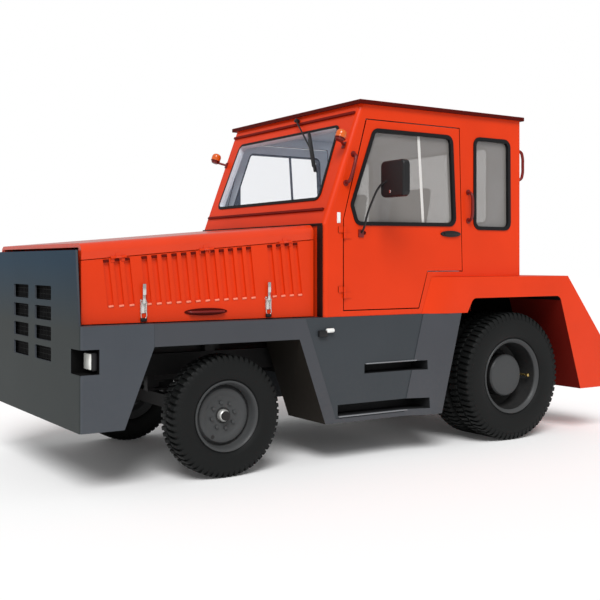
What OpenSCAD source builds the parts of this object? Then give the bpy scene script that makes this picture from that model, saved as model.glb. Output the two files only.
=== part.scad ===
// Airport tow tractor with an enclosed cab, steered front wheels and twin rear wheels.
// Millimetres. The nose points to -Y, the driver's left is +X, and Z = 0 is the ground.

/* [Overall] */
// Length from the nose plate to the end of the tow hitch
overall_l = 4600; // [4500:10:4700]
// Width of the grey lower body
body_w = 1760; // [1740:10:1800]
// Height of the ledge that carries the bonnet and the cab
deck_z = 985; // [975:5:995]
// Height of the top of the roof
roof_z = 2475; // [2440:5:2500]

/* [Nose] */
// Top edge of the nose plate
nose_top = 1425; // [1400:5:1440]
// Bottom edge of the nose plate
nose_bottom = 370; // [340:5:400]
// Thickness of the nose and skirt plates
plate_t = 12; // [8:1:16]
// Radius of the nose's upright corners
corner_r = 20; // [12:1:30]
// Width of one grille slot
slot_w = 315; // [280:5:330]
// Height of one grille slot
slot_h = 88; // [70:2:96]
// Rows of grille slots
slot_rows = 4; // [2:1:4]
// Height from one slot to the next
slot_pitch = 126; // [115:1:130]
// Width of the bar between the two columns of slots
slot_bar = 130; // [100:5:150]
// Height of the upper edge of the top slots
slot_top = 1208; // [1190:2:1220]
// Width of a headlamp pocket across the nose
pocket_w = 150; // [130:5:165]
// Reach of a headlamp pocket along the side
pocket_l = 117; // [105:1:125]
// Height of a headlamp pocket
pocket_h = 145; // [130:5:160]
// Lower edge of a headlamp pocket
pocket_z = 705; // [690:5:715]

/* [Bonnet] */
// Width over the bonnet's side panels
bonnet_w = 1600; // [1560:10:1640]
// Height of the bonnet's top at the nose
bonnet_front_z = 1465; // [1450:5:1480]
// Height of the bonnet's top at the cab
bonnet_rear_z = 1605; // [1590:5:1620]
// Thickness of the bonnet's panels
bonnet_t = 24; // [18:1:30]
// Depth of the fixed top's turned-down edge
bonnet_lip = 100; // [85:5:110]
// Radius of the bonnet's long upper edges
bonnet_edge_r = 55; // [40:5:70]
// Louvres in each of the three groups
louvre_counts = [3, 12, 4];
// Distance of each group's middle from the nose plate
louvre_mids = [270, 810, 1432];
// Distance from louvre to louvre
louvre_pitch = 66; // [60:1:68]
// Width of a louvre
louvre_w = 38; // [30:1:44]
// How deep a louvre is pressed in
louvre_depth = 14; // [8:1:16]

/* [Front wheels] */
// Distance from the nose plate to the front axle
front_overhang = 975; // [960:5:990]
// Outside diameter of a front tyre
front_tyre_d = 770; // [750:5:790]
// Width of a front tyre
front_tyre_w = 200; // [180:5:210]
// Diameter of the front rim's flange
front_rim_d = 450; // [430:5:460]
// Distance of a front tyre's outer face from the middle
front_face_x = 865; // [855:1:870]
// Distance of a kingpin from the middle
kingpin_x = 600; // [590:1:605]
// Diameter of a kingpin
kingpin_d = 36; // [30:1:40]

/* [Rear wheels] */
// Distance between the axles
wheel_base = 2450; // [2430:5:2470]
// Outside diameter of a rear tyre
rear_tyre_d = 970; // [950:5:990]
// Width of one rear tyre
rear_tyre_w = 222; // [210:2:226]
// Diameter of the rear rim's flange
rear_rim_d = 570; // [550:5:580]
// Gap between the two tyres of a pair
twin_gap = 30; // [24:1:40]
// Distance of the outer rear tyre's face from the middle
rear_face_x = 912; // [905:1:916]

/* [Cab] */
// Width over the cab's side walls
cab_w = 1740; // [1720:5:1750]
// Distance from the nose plate to the cab's front wall
cab_setback = 1690; // [1680:5:1700]
// Length of the cab
cab_l = 1835; // [1810:5:1850]
// Thickness of the cab's walls and doors
wall_t = 40; // [34:1:46]
// Thickness of the roof
roof_t = 30; // [24:1:36]
// Overhang of the roof
roof_eave = 24; // [16:1:30]
// Height where the windscreen starts to lean back
screen_foot_z = 1610; // [1608:1:1616]
// How far the windscreen leans back up to the roof
screen_lean = 312; // [300:2:324]
// Running gap round a door
door_gap = 7; // [6:0.5:9]
// Thickness of the window glass
glass_t = 5; // [4:0.5:6]
// Width of the rubber seals' frame
seal_w = 13; // [11:1:16]
// Diameter of the steering wheel
steering_d = 420; // [380:10:440]

/* [Rear body] */
// Width over the rear fenders
fender_w = 1880; // [1870:5:1900]
// Height of the fenders' tops
fender_top = 1247; // [1240:1:1255]
// Distance the hitch stands behind the tail plate
hitch_reach = 115; // [105:5:130]
// Diameter of the tow pin's hole
hitch_bore_d = 34; // [28:1:38]
// Opening between the hitch's jaws
hitch_jaw = 90; // [80:2:100]

/* [Hidden] */
$fn = 48;

orange = [0.87, 0.20, 0.09];
grey = [0.27, 0.29, 0.31];
black = [0.04, 0.04, 0.04];
steel = [0.72, 0.72, 0.70];
glass_tint = [0.6, 0.68, 0.72, 0.4];
amber = [1.0, 0.55, 0.1];
lens = [0.92, 0.92, 0.88];
red = [0.7, 0.05, 0.04];

// Clearances: seats between pieces of one body, running fits, and room round what moves
seam = 0.3;
run = 0.05;
clear = 6;
over = 20;

// Stations along the tractor
y_nose = -overall_l / 2;
y_front = y_nose + front_overhang;
y_rear = y_front + wheel_base;
y_hitch = overall_l / 2;
y_tail = y_hitch - hitch_reach;
y_cab = y_nose + cab_setback;
y_cab_end = y_cab + cab_l;
y_bonnet_0 = y_nose + plate_t + 25;
y_bonnet_1 = y_cab - 32;
nose_edge = plate_t + 18;

body_x = body_w / 2;
cab_x = cab_w / 2;
bonnet_x = bonnet_w / 2;
fender_x = fender_w / 2;
front_r = front_tyre_d / 2;
rear_r = rear_tyre_d / 2;
wall_top = roof_z - roof_t;

// Frame rails under everything
rail_x = 330;
rail_w = 60;
rail_z = 610;
rail_h = 140;
rail_top = rail_z + rail_h;
rail_short = 150;

// Front arch in the side of the body: y at the top and bottom of its two slanted edges
arch_top_z = 847;
arch_front_top = y_front - 513;
arch_front_low = y_front - 703;
arch_rear_top = y_front + 521;
arch_rear_low = y_front + 725;
skirt_low_z = 272;
skirt_end_low = y_rear - 752;
skirt_end_top = y_rear - 562;
skirt_inner = 420;
ledge_x = 520;
radiator_w = 980;

// Unit direction, and a polygon with every corner rounded or moved inward by d
function unit(v) = v / norm(v);
function ring(i, n) = (i + n) % n;
function corner_arc(a, p, b, r, n) =
    let (u = unit(a - p), w = unit(b - p), half = acos(u * w) / 2,
        c = p + unit(u + w) * r / sin(half), s = p + u * r / tan(half), e = p + w * r / tan(half),
        t0 = atan2(s[1] - c[1], s[0] - c[0]), t1 = atan2(e[1] - c[1], e[0] - c[0]),
        turn = (t1 - t0 + 540) % 360 - 180)
    [for (i = [0:n]) c + r * [cos(t0 + turn * i / n), sin(t0 + turn * i / n)]];
function rounded(pts, r, n = 5) = [for (i = [0:len(pts) - 1])
    each corner_arc(pts[ring(i - 1, len(pts))], pts[i], pts[ring(i + 1, len(pts))], r, n)];
function inset(pts, d) = [for (i = [0:len(pts) - 1])
    let (p = pts[i], u = unit(pts[ring(i - 1, len(pts))] - p), w = unit(pts[ring(i + 1, len(pts))] - p))
    p + unit(u + w) * d / sin(acos(u * w) / 2)];
function lerp(a, b, t) = a + (b - a) * t;

// A side-view outline of [y, z] points, as a slab from x0 to x1
module slab(x0, x1, pts) {
    translate([x0, 0, 0]) rotate([90, 0, 90]) linear_extrude(x1 - x0) polygon(pts);
}

// A box from one corner to the opposite one
module block(low, high) {
    translate(low) cube(high - low);
}

// The right-hand twin of a left-hand piece
module on_side(left) {
    if (left) children();
    else mirror([1, 0, 0]) children();
}

module both() {
    children();
    mirror([1, 0, 0]) children();
}

// A round bar along X, Y or Z
module bar_x(d, x0, x1) { translate([x0, 0, 0]) rotate([0, 90, 0]) cylinder(d = d, h = x1 - x0); }
module bar_y(d, y0, y1) { translate([0, y0, 0]) rotate([-90, 0, 0]) cylinder(d = d, h = y1 - y0); }

// Frame

module frame_rails() color(black) {
    y0 = y_nose + 130;
    y1 = y_tail - rail_short;
    cross_h = 90;
    both() difference() {
        block([rail_x - rail_w, y0, rail_z], [rail_x, y1, rail_top]);
        block([rail_x - rail_w - over, y0 - over, rail_z + 12], [rail_x - 10, y1 + over, rail_top - 12]);
    }
    for (y = [y0, y_rear - 480, y1 - 60])
        block([-rail_x + 10, y, rail_z + 12], [rail_x - 10, y + 60, rail_z + 12 + cross_h]);
    // The middle cross member hangs under the rails, clear of the drive shaft
    block([-rail_x, y_cab + 200, rail_z - cross_h], [rail_x, y_cab + 260, rail_z + 1]);
}

// Nose

module nose_plan(inward) {
    r = max(corner_r - inward, 1);
    x = body_x - inward;
    y = y_nose + inward;
    for (s = [-1, 1]) translate([s * (x - r), y + r]) circle(r);
    translate([-x + r, y]) square([2 * (x - r), r]);
    translate([-x, y + r]) square([2 * x, arch_front_top - y - r + (inward > 0 ? over : 0)]);
}

module nose_slots() {
    for (s = [-1, 1], row = [0:slot_rows - 1])
        translate([s * (slot_bar + slot_w) / 2, y_nose - over, slot_top - row * slot_pitch - slot_h / 2])
            rotate([-90, 0, 0]) linear_extrude(3 * over)
                polygon(rounded([[-slot_w, -slot_h] / 2, [slot_w, -slot_h] / 2, [slot_w, slot_h] / 2,
                    [-slot_w, slot_h] / 2], 10, 3));
}

module headlamp_pockets() {
    both() block([body_x - pocket_w, y_nose - over, pocket_z],
        [body_x + over, y_nose + pocket_l, pocket_z + pocket_h]);
}

module nose() color(grey) {
    difference() {
        translate([0, 0, nose_bottom]) linear_extrude(nose_top - nose_bottom) difference() {
            nose_plan(0);
            nose_plan(plate_t);
        }
        both() slab(body_x - 3 * plate_t, body_x + over, [
            [arch_front_low, nose_bottom - over], [arch_front_low, nose_bottom],
            [arch_front_top, arch_top_z], [arch_front_top + 2 * over, arch_top_z],
            [arch_front_top + 2 * over, nose_bottom - over]]);
        block([-body_x - over, y_nose + nose_edge, deck_z],
            [body_x + over, arch_front_top + over, nose_top + over]);
        nose_slots();
        headlamp_pockets();
        // The plate over the deck narrows upwards
        both() translate([0, y_nose + 3 * over, 0]) rotate([90, 0, 0]) linear_extrude(4 * over)
            polygon([[body_x - 22, deck_z], [body_x + over, deck_z], [body_x + over, nose_top + over],
                [bonnet_x + 6, nose_top + over]]);
    }
    both() {
        // Lamp box behind each pocket
        difference() {
            block([body_x - pocket_w - 8, y_nose + plate_t, pocket_z - 8],
                [body_x - plate_t, y_nose + pocket_l + 8, pocket_z + pocket_h + 8]);
            block([body_x - pocket_w, y_nose - over, pocket_z],
                [body_x + over, y_nose + pocket_l, pocket_z + pocket_h]);
        }
        // Ledge under the bonnet's front end
        block([ledge_x, y_nose + plate_t - 1, deck_z - plate_t], [body_x - plate_t + 1, arch_front_top, deck_z]);
        // Outrigger from the frame rail
        block([rail_x + seam, y_nose + 290, rail_z + 20], [body_x - plate_t + 1, y_nose + 340, rail_z + 70]);
    }
    // Lower apron that ties the nose to the rails
    block([-rail_x - plate_t, y_nose + plate_t, rail_z + 30], [rail_x + plate_t, y_nose + 130 - seam, rail_z + 42]);
}

module radiator() color(black) {
    w = radiator_w;
    z0 = rail_top + seam;
    y0 = y_nose + 165;
    difference() {
        block([-w / 2, y0, z0], [w / 2, y0 + 90, nose_top - 120]);
        block([-w / 2 + 40, y0 - over, z0 + 60], [w / 2 - 40, y0 + 12, nose_top - 180]);
    }
    for (i = [0:10])
        block([-w / 2 + 40, y0 + 4, z0 + 80 + i * 45], [w / 2 - 40, y0 + 12, z0 + 90 + i * 45]);
}

module headlamps() {
    lamp_w = 112;
    lamp_h = 104;
    y0 = y_nose + pocket_l - 46;
    both() translate([body_x - pocket_w + 70, 0, pocket_z + pocket_h / 2]) color(lens) {
        translate([0, y0, 0]) rotate([-90, 0, 0]) linear_extrude(46 - seam)
            polygon(rounded([[-lamp_w, -lamp_h] / 2, [lamp_w, -lamp_h] / 2, [lamp_w, lamp_h] / 2,
                [-lamp_w, lamp_h] / 2], 14, 4));
    }
}

// Bonnet

function bonnet_z(y) = lerp(bonnet_front_z, bonnet_rear_z, (y - y_bonnet_0) / (y_bonnet_1 - y_bonnet_0));
bonnet_slope = atan((bonnet_rear_z - bonnet_front_z) / (y_bonnet_1 - y_bonnet_0));
hinge_d = 14;
hinge_pin_d = 6;
hinge_out = 8.5;
hinge_len = 34;
hinge_ys = [for (t = [0.14, 0.5, 0.86]) lerp(y_bonnet_0, y_bonnet_1, t)];
bonnet_axis_x = bonnet_x + hinge_out;
function bonnet_axis_z(y) = bonnet_z(y) - bonnet_lip;
post_x = bonnet_x - bonnet_t - 60;

module along_bonnet_hinge(y) {
    translate([bonnet_axis_x, y, bonnet_axis_z(y)]) rotate([bonnet_slope, 0, 0]) children();
}

module bonnet_section(grow) {
    r = max(bonnet_edge_r + grow, 2);
    x = bonnet_x + grow;
    translate([-x, -bonnet_lip - over]) square([2 * x, bonnet_lip + over - r + grow]);
    translate([-x + r, grow - r]) square([2 * (x - r), r]);
    for (s = [-1, 1]) translate([s * (x - r), grow - r]) circle(r);
}

module bonnet_top() color(orange) {
    length = (y_bonnet_1 - y_bonnet_0) / cos(bonnet_slope) + 2 * over;
    difference() {
        translate([0, y_bonnet_0, bonnet_front_z]) rotate([bonnet_slope, 0, 0])
            translate([0, length - over, 0]) rotate([90, 0, 0]) linear_extrude(length) difference() {
                bonnet_section(0);
                bonnet_section(-bonnet_t);
                translate([-bonnet_x - over, -bonnet_lip - 3 * over])
                    square([bonnet_w + 2 * over, 3 * over + clear / 2]);
            }
        block([-bonnet_x - over, y_bonnet_0 - 3 * over, deck_z], [bonnet_x + over, y_bonnet_0, roof_z]);
        block([-bonnet_x - over, y_bonnet_1, deck_z], [bonnet_x + over, y_bonnet_1 + 3 * over, roof_z]);
    }
    // Fixed middle knuckle of each hinge, with its pin
    both() for (y = hinge_ys) along_bonnet_hinge(y) {
        bar_y(hinge_d, -hinge_len / 2, hinge_len / 2);
        bar_y(hinge_pin_d, -1.4 * hinge_len, 1.4 * hinge_len);
        block([-hinge_out - 4, -hinge_len / 2, 0], [-hinge_out + 4, hinge_len / 2, 26]);
    }
    // Struts behind the nose and posts at the cab, inside the panels, all on the ledge
    both() {
        slab(post_x + 24, post_x + 54, [[y_bonnet_0 + 5, deck_z + seam], [y_bonnet_0 + 70, deck_z + seam],
            [y_bonnet_0 + 70, bonnet_z(y_bonnet_0) - 10], [y_bonnet_0 + 5, bonnet_z(y_bonnet_0) - 12]]);
        block([post_x, y_bonnet_1 - 30, deck_z + seam], [post_x + 40, y_bonnet_1, bonnet_axis_z(y_bonnet_1) + 20]);
        block([post_x, y_bonnet_1 - 30, bonnet_axis_z(y_bonnet_1) + clear],
            [bonnet_x - bonnet_t + 4, y_bonnet_1, bonnet_axis_z(y_bonnet_1) + 40]);
    }
}

function louvre_y(g, i) = y_nose + louvre_mids[g] + louvre_pitch * (i - (louvre_counts[g] - 1) / 2);
louvre_lean = 6.5;
louvre_ramp = 1.5;

// One louvre as a cutter: a trough with sloping ends, standing square to the bonnet's top
module louvre(y) {
    top = bonnet_axis_z(y) - 8;
    low = lerp(deck_z + 95, deck_z + 148, (y - y_bonnet_0) / (y_bonnet_1 - y_bonnet_0));
    half = (top - low) / 2;
    inner = half - louvre_ramp * louvre_depth;
    translate([bonnet_x, y, low + half]) rotate([louvre_lean, 0, 0]) translate([0, louvre_w / 2, 0])
        rotate([90, 0, 0]) linear_extrude(louvre_w)
            polygon([[1, -half - louvre_ramp], [1, half + louvre_ramp], [-louvre_depth, inner], [-louvre_depth, -inner]]);
}

module bonnet_panel() {
    z0 = deck_z + clear;
    difference() {
        slab(bonnet_x - bonnet_t, bonnet_x, [[y_bonnet_0, z0], [y_bonnet_1, z0],
            [y_bonnet_1, bonnet_axis_z(y_bonnet_1) - clear / 2], [y_bonnet_0, bonnet_axis_z(y_bonnet_0) - clear / 2]]);
        for (g = [0:2], i = [0:louvre_counts[g] - 1]) louvre(louvre_y(g, i));
    }
    // Moving knuckles of each hinge
    for (y = hinge_ys) along_bonnet_hinge(y) for (s = [-1, 1])
        difference() {
            union() {
                translate([0, s * hinge_len, 0]) bar_y(hinge_d, -hinge_len / 2 + 1, hinge_len / 2 - 1);
                translate([0, s * hinge_len, 0])
                    block([-hinge_out - 4, -hinge_len / 2 + 1, -26], [-hinge_out + 4, hinge_len / 2 - 1, 0]);
            }
            bar_y(hinge_pin_d + 2 * run, -2 * hinge_len, 2 * hinge_len);
        }
}

module bonnet_left() color(orange) on_side(true) bonnet_panel();
module bonnet_right() color(orange) on_side(false) bonnet_panel();

latch_ys = [y_bonnet_0 + 386, y_bonnet_0 + 1262];
pull_y = (y_bonnet_0 + y_bonnet_1) / 2;

module latch_set() {
    for (y = latch_ys) translate([bonnet_x + seam, y, deck_z]) {
        block([0, -22, 45], [6, 22, 100]);
        translate([8, 0, 84]) rotate([0, 4, 0]) block([0, -12, 0], [8, 12, 118]);
        translate([10, 0, 84]) bar_y(16, -20, 20);
        for (s = [-1, 1]) translate([8, s * 16, 0]) block([0, -4, 20], [8, 4, 86]);
        block([0, -20, 14], [16, 20, 26]);
    }
    // Pull bar low on the panel
    translate([bonnet_x + seam, pull_y, deck_z + 58]) {
        for (s = [-1, 1]) block([0, s * 120 - 12, -10], [26, s * 120 + 12, 10]);
        translate([26, 0, 0]) bar_y(20, -138, 138);
    }
}

module latches_left() color(steel) on_side(true) latch_set();
module latches_right() color(steel) on_side(false) latch_set();

module engine() color([0.2, 0.22, 0.24]) {
    y0 = y_nose + 330;
    w = rail_x - rail_w - 10;
    block([-w, y0 + 60, rail_z - 40], [w, y0 + 900, 1010]);
    block([-w + 40, y0 + 80, 1010], [w - 40, y0 + 860, 1190]);
    block([-w + 90, y0 + 100, 1190], [w - 90, y0 + 840, 1250]);
    // Mounting feet on the rails, gearbox and drive shaft back to the axle
    for (y = [y0 + 160, y0 + 760]) block([-rail_x + 5, y, rail_top + seam], [rail_x - 5, y + 70, rail_top + 40]);
    translate([0, 0, 690]) {
        bar_y(360, y0 + 900, y0 + 1050);
        bar_y(240, y0 + 1050, y0 + 1420);
    }
    translate([0, y0 + 1420, 690]) {
        drop = atan((690 - rear_r) / (y_rear - 150 - y0 - 1420));
        rotate([-drop, 0, 0]) bar_y(80, -10, (y_rear - 165 - y0 - 1420) / cos(drop));
    }
}

// Skirts with the wheel arch and the steps

step_plane = body_x;
step_depth = 150;
skirt_lean = (skirt_end_top - skirt_end_low) / (deck_z - skirt_low_z);

// Slanted rear edge of the skirt, coming out to the fender's face
flare_l = 190;
flare_band = 115;

module skirt_body() {
    y_far = arch_front_top - 300;
    flare_y = skirt_end_low - flare_band - flare_l;
    x_in = skirt_inner - over;
    press = 6;
    arch_border = 85;
    z_border = skirt_low_z + 30;
    arch_slope = (arch_rear_low - arch_rear_top) / (arch_top_z - skirt_low_z);
    // Drawn in plan, leaning back with the rear edge, and cut to the arch
    difference() {
        rake_prism(skirt_lean, skirt_low_z, deck_z, [[skirt_inner, y_far], [step_plane, y_far],
            [step_plane, flare_y], [fender_x, skirt_end_low - flare_band],
            [fender_x, skirt_end_low], [skirt_inner, skirt_end_low]], skirt_low_z);
        block([x_in, y_far - over, skirt_low_z - over], [step_plane + over, arch_front_top + seam, deck_z + over]);
        slab(x_in, step_plane + over, [[arch_front_top - over, skirt_low_z - over],
            [arch_rear_low, skirt_low_z - over], [arch_rear_low, skirt_low_z], [arch_rear_top, arch_top_z],
            [arch_front_top - over, arch_top_z]]);
        // Room for the wheel behind the strip and inside the ledge
        block([x_in, arch_front_top - over, arch_top_z - over],
            [step_plane - plate_t, arch_rear_top, deck_z - plate_t]);
        block([x_in, arch_front_top - over, arch_top_z - over], [ledge_x, arch_rear_top, deck_z + over]);
        // Face set back inside a border along the arch and the lower edge
        slab(step_plane - press, step_plane + over, [[arch_rear_low + arch_border, z_border],
            [flare_y - press + skirt_lean * (z_border - skirt_low_z), z_border],
            [flare_y - press + skirt_lean * (deck_z + over - skirt_low_z), deck_z + over],
            [arch_rear_low + arch_border - arch_slope * (deck_z + over - z_border), deck_z + over]]);
        // Two toe slots
        block([step_plane - step_depth, arch_rear_low + 330, 590],
            [fender_x + over, skirt_end_low - 110, 655]);
        block([step_plane - step_depth, arch_rear_low + 105, 318],
            [fender_x + over, skirt_end_low - 110, 392]);
    }
    // Bracket to the frame rail
    block([rail_x + seam, y_cab - 10, rail_z + 20], [skirt_inner + 5, y_cab + 110, rail_top - 20]);
}

// A plan outline of [x, y] points drawn upwards from z_ref, sliding to the rear as it rises
module rake_prism(lean, z0, z1, pts, z_ref) {
    a = atan(lean);
    intersection() {
        translate([0, 0, z_ref]) rotate([-a, 0, 0])
            linear_extrude(2 * overall_l, center = true)
                polygon([for (p = pts) [p[0], p[1] * cos(a)]]);
        block([-fender_w, -overall_l, z0], [fender_w, overall_l, z1]);
    }
}

module skirt_left() color(grey) on_side(true) skirt_body();
module skirt_right() color(grey) on_side(false) skirt_body();

// Cab

y_screen_top = y_cab + screen_lean;
rake = atan(screen_lean / (wall_top - screen_foot_z));
screen_l = norm([screen_lean, wall_top - screen_foot_z]);
screen_t = wall_t / cos(rake);
cab_floor_z = deck_z + seam;
floor_t = 16;
fender_lean = 0.35;
shelf_y = y_rear - 899;
fender_y_low = shelf_y + floor_t + 1;
fender_y_top = fender_y_low + fender_lean * (fender_top - deck_z);
screen_kink = screen_foot_z + 6;

module cab_floor() color(black) {
    x = cab_x - wall_t - clear;
    slab(-x, x, [[y_cab + wall_t + seam, cab_floor_z], [shelf_y + floor_t, cab_floor_z],
        [shelf_y + floor_t, fender_top + seam], [y_cab_end - wall_t - seam, fender_top + seam],
        [y_cab_end - wall_t - seam, fender_top + floor_t], [shelf_y, fender_top + floor_t],
        [shelf_y, cab_floor_z + floor_t], [y_cab + wall_t + seam, cab_floor_z + floor_t]]);
    // Sill members down to the rails
    both() for (y = [y_cab + 270, shelf_y - 120])
        block([rail_x - rail_w + 10, y, rail_top + seam], [rail_x - 10, y + 60, cab_floor_z]);
}

screen_low = 186;
screen_high = screen_l - 152;
screen_outline = [[-725, screen_low], [725, screen_low], [694, screen_high], [-694, screen_high]];

module on_screen() {
    translate([0, y_cab, screen_foot_z]) rotate([-rake, 0, 0]) children();
}

// An [x, z] outline on the leaning windscreen plane, from depth d0 to d1 behind its face
module screen_slab(d0, d1, pts) {
    on_screen() translate([0, d1, 0]) rotate([90, 0, 0]) linear_extrude(d1 - d0) polygon(pts);
}

module cab_front() color(orange) {
    difference() {
        slab(-cab_x, cab_x, [[y_cab, deck_z + seam], [y_cab, screen_foot_z], [y_screen_top, wall_top],
            [y_screen_top + screen_t, wall_top], [y_cab + wall_t, screen_kink],
            [y_cab + wall_t, deck_z + seam]]);
        screen_slab(-over, wall_t + over, rounded(screen_outline, 45));
    }
    // Moulding over the windscreen and cowl strip under it
    on_screen() {
        block([-cab_x + 30, -14, screen_l - 80], [cab_x - 30, 1, screen_l - 63]);
        block([-cab_x + 45, -14, 98], [cab_x - 45, 1, 114]);
    }
}

door_low_z = deck_z + 45;
door_front = y_cab + 169;
door_top_z = wall_top - 111;
door_end = y_cab + 1240;
door_knee_z = screen_foot_z + 34;
notch_z = fender_top + 45;
notch_y = fender_y_top - 37;
sill_y = fender_y_low - 29;
door_slant = 193;
function door_edge(z) = door_front + door_slant * (z - door_knee_z) / (door_top_z - door_knee_z);

function door_outline(d) = [[door_front + d, door_low_z + d], [door_front + d, door_knee_z],
    [door_front + door_slant + d, door_top_z - d], [door_end - 30 - d, door_top_z - d], [door_end - d, notch_z + d],
    [notch_y - d / 2, notch_z + d], [sill_y - d, door_low_z + d]];

window_low = screen_foot_z + 8;
window_high = wall_top - 179;
window_bend = screen_foot_z + 135;
door_window = [[door_front + 109, window_low], [door_end - 74, window_low + 10], [door_end - 107, window_high],
    [door_edge(window_high) + 84, window_high], [door_edge(window_bend) + 38, window_bend]];
quarter_window = [[door_end + 125, window_low - 10], [y_cab_end - 114, window_low - 10],
    [y_cab_end - 119, window_high + 6], [door_end + 125, window_high + 6]];
corner_in = 48;

door_axis_x = cab_x + 11;
door_axis_y = door_front - 2;
door_hinge_zs = [door_low_z + 120, door_knee_z - 90];
door_hinge_d = 18;
door_pin_d = 9;
door_knuckle = 40;

module cab_side_wall() {
    xi = cab_x - wall_t;
    front = y_cab + wall_t + seam;
    difference() {
        slab(xi, cab_x, [[front, deck_z + seam], [front, screen_kink], [y_screen_top + screen_t + seam, wall_top],
            [y_cab_end, wall_top], [y_cab_end, fender_top + seam], [fender_y_top - 1, fender_top + seam],
            [fender_y_low - 1, deck_z + seam]]);
        slab(xi - over, cab_x + over, door_outline(-door_gap));
        slab(xi - over, cab_x + over, rounded(quarter_window, corner_in));
    }
    // Fixed knuckle of each door hinge, with its pin
    for (z = door_hinge_zs) translate([door_axis_x, door_axis_y, z]) {
        cylinder(d = door_hinge_d, h = door_knuckle);
        translate([0, 0, -door_knuckle + 4]) cylinder(d = door_pin_d, h = 2 * door_knuckle - 4);
        block([-door_hinge_d / 2 - 4, -46, 0], [-door_hinge_d / 2 + 4, -4, door_knuckle]);
    }
}

module cab_side_left() color(orange) on_side(true) cab_side_wall();
module cab_side_right() color(orange) on_side(false) cab_side_wall();

rear_window = [[-560, window_low + 42], [560, window_low + 42], [560, window_high + 6], [-560, window_high + 6]];

module rear_slab(y0, y1, pts) {
    translate([0, y1, 0]) rotate([90, 0, 0]) linear_extrude(y1 - y0) polygon(pts);
}

module cab_rear() color(orange) {
    x = cab_x - wall_t - seam;
    difference() {
        block([-x, y_cab_end - wall_t, fender_top + seam], [x, y_cab_end, wall_top]);
        rear_slab(y_cab_end - wall_t - over, y_cab_end + over, rounded(rear_window, 60));
    }
}

module cab_roof() color(orange) {
    x = cab_x + roof_eave;
    y0 = y_screen_top - roof_eave;
    y1 = y_cab_end + roof_eave;
    difference() {
        block([-x, y0, wall_top + seam], [x, y1, roof_z]);
        // Shallow crown: the outer rim lies lower than the middle
        difference() {
            block([-x - over, y0 - over, roof_z - 8], [x + over, y1 + over, roof_z + over]);
            block([-x + 60, y0 + 60, roof_z - 2 * over], [x - 60, y1 - 60, roof_z + 2 * over]);
        }
    }
    // Drip edge that hangs past the walls
    difference() {
        block([-x, y0, wall_top - 8], [x, y1, wall_top + 4]);
        block([-x + 8, y0 + 8, wall_top - over], [x - 8, y1 - 8, wall_top + seam]);
    }
}

module cab_glass() color(glass_tint) {
    inner = seal_w + seam;
    mid = (wall_t - glass_t) / 2;
    screen_slab(mid, mid + glass_t, rounded(inset(screen_outline, inner), 45 - inner));
    both() slab(cab_x - mid - glass_t, cab_x - mid, rounded(inset(quarter_window, inner), corner_in - inner));
    rear_slab(y_cab_end - mid - glass_t, y_cab_end - mid, rounded(inset(rear_window, inner), 60 - inner));
}

seal_lip = 14;
screen_lip = 8;
seal_rise = 7;

module cab_seals() color(black) {
    difference() {
        union() {
            screen_slab(seam, wall_t - seam, rounded(inset(screen_outline, seam), 45 - seam));
            screen_slab(-seal_rise, -seam, rounded(inset(screen_outline, -screen_lip), 45 + screen_lip));
            screen_slab(-seam - 1, seam + 1, rounded(inset(screen_outline, seam), 45 - seam));
        }
        screen_slab(-over, wall_t + over, rounded(inset(screen_outline, seal_w), 45 - seal_w));
    }
    both() difference() {
        union() {
            slab(cab_x - wall_t + seam, cab_x + seam + 1, rounded(inset(quarter_window, seam), corner_in - seam));
            slab(cab_x + seam, cab_x + seal_rise, rounded(inset(quarter_window, -seal_lip), corner_in + seal_lip));
        }
        slab(cab_x - wall_t - over, cab_x + over, rounded(inset(quarter_window, seal_w), corner_in - seal_w));
    }
    difference() {
        union() {
            rear_slab(y_cab_end - wall_t + seam, y_cab_end + seam + 1, rounded(inset(rear_window, seam), 60 - seam));
            rear_slab(y_cab_end + seam, y_cab_end + seal_rise, rounded(inset(rear_window, -seal_lip), 60 + seal_lip));
        }
        rear_slab(y_cab_end - wall_t - over, y_cab_end + over, rounded(inset(rear_window, seal_w), 60 - seal_w));
    }
}

// Doors

module door_panel() {
    xi = cab_x - wall_t;
    difference() {
        slab(xi, cab_x, door_outline(0));
        slab(xi - over, cab_x + over, rounded(door_window, corner_in));
    }
    // Moving knuckle of each hinge, under the fixed one
    for (z = door_hinge_zs) translate([door_axis_x, door_axis_y, z - door_knuckle]) difference() {
        union() {
            cylinder(d = door_hinge_d, h = door_knuckle - 1);
            block([-door_hinge_d / 2 - 4, 3, 0], [-door_hinge_d / 2 + 4, 60, door_knuckle - 1]);
        }
        translate([0, 0, -over]) cylinder(d = door_pin_d + 2 * run, h = 2 * over + door_knuckle);
    }
}

module door_left() color(orange) on_side(true) door_panel();
module door_right() color(orange) on_side(false) door_panel();

module door_glass() {
    inner = seal_w + seam;
    mid = (wall_t - glass_t) / 2;
    slab(cab_x - mid - glass_t, cab_x - mid, rounded(inset(door_window, inner), corner_in - inner));
}

module door_glass_left() color(glass_tint) on_side(true) door_glass();
module door_glass_right() color(glass_tint) on_side(false) door_glass();

module door_trim() {
    difference() {
        union() {
            slab(cab_x - wall_t + seam, cab_x + seam + 1, rounded(inset(door_window, seam), corner_in - seam));
            slab(cab_x + seam, cab_x + seal_rise, rounded(inset(door_window, -seal_lip), corner_in + seal_lip));
        }
        slab(cab_x - wall_t - over, cab_x + over, rounded(inset(door_window, seal_w), corner_in - seal_w));
    }
    // Paddle handle near the rear edge
    translate([cab_x + seam, door_end - 205, 1560]) {
        block([0, 0, -17], [12, 150, 17]);
        block([12, 18, -10], [26, 138, 12]);
    }
}

module door_trim_left() color(black) on_side(true) door_trim();
module door_trim_right() color(black) on_side(false) door_trim();

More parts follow.
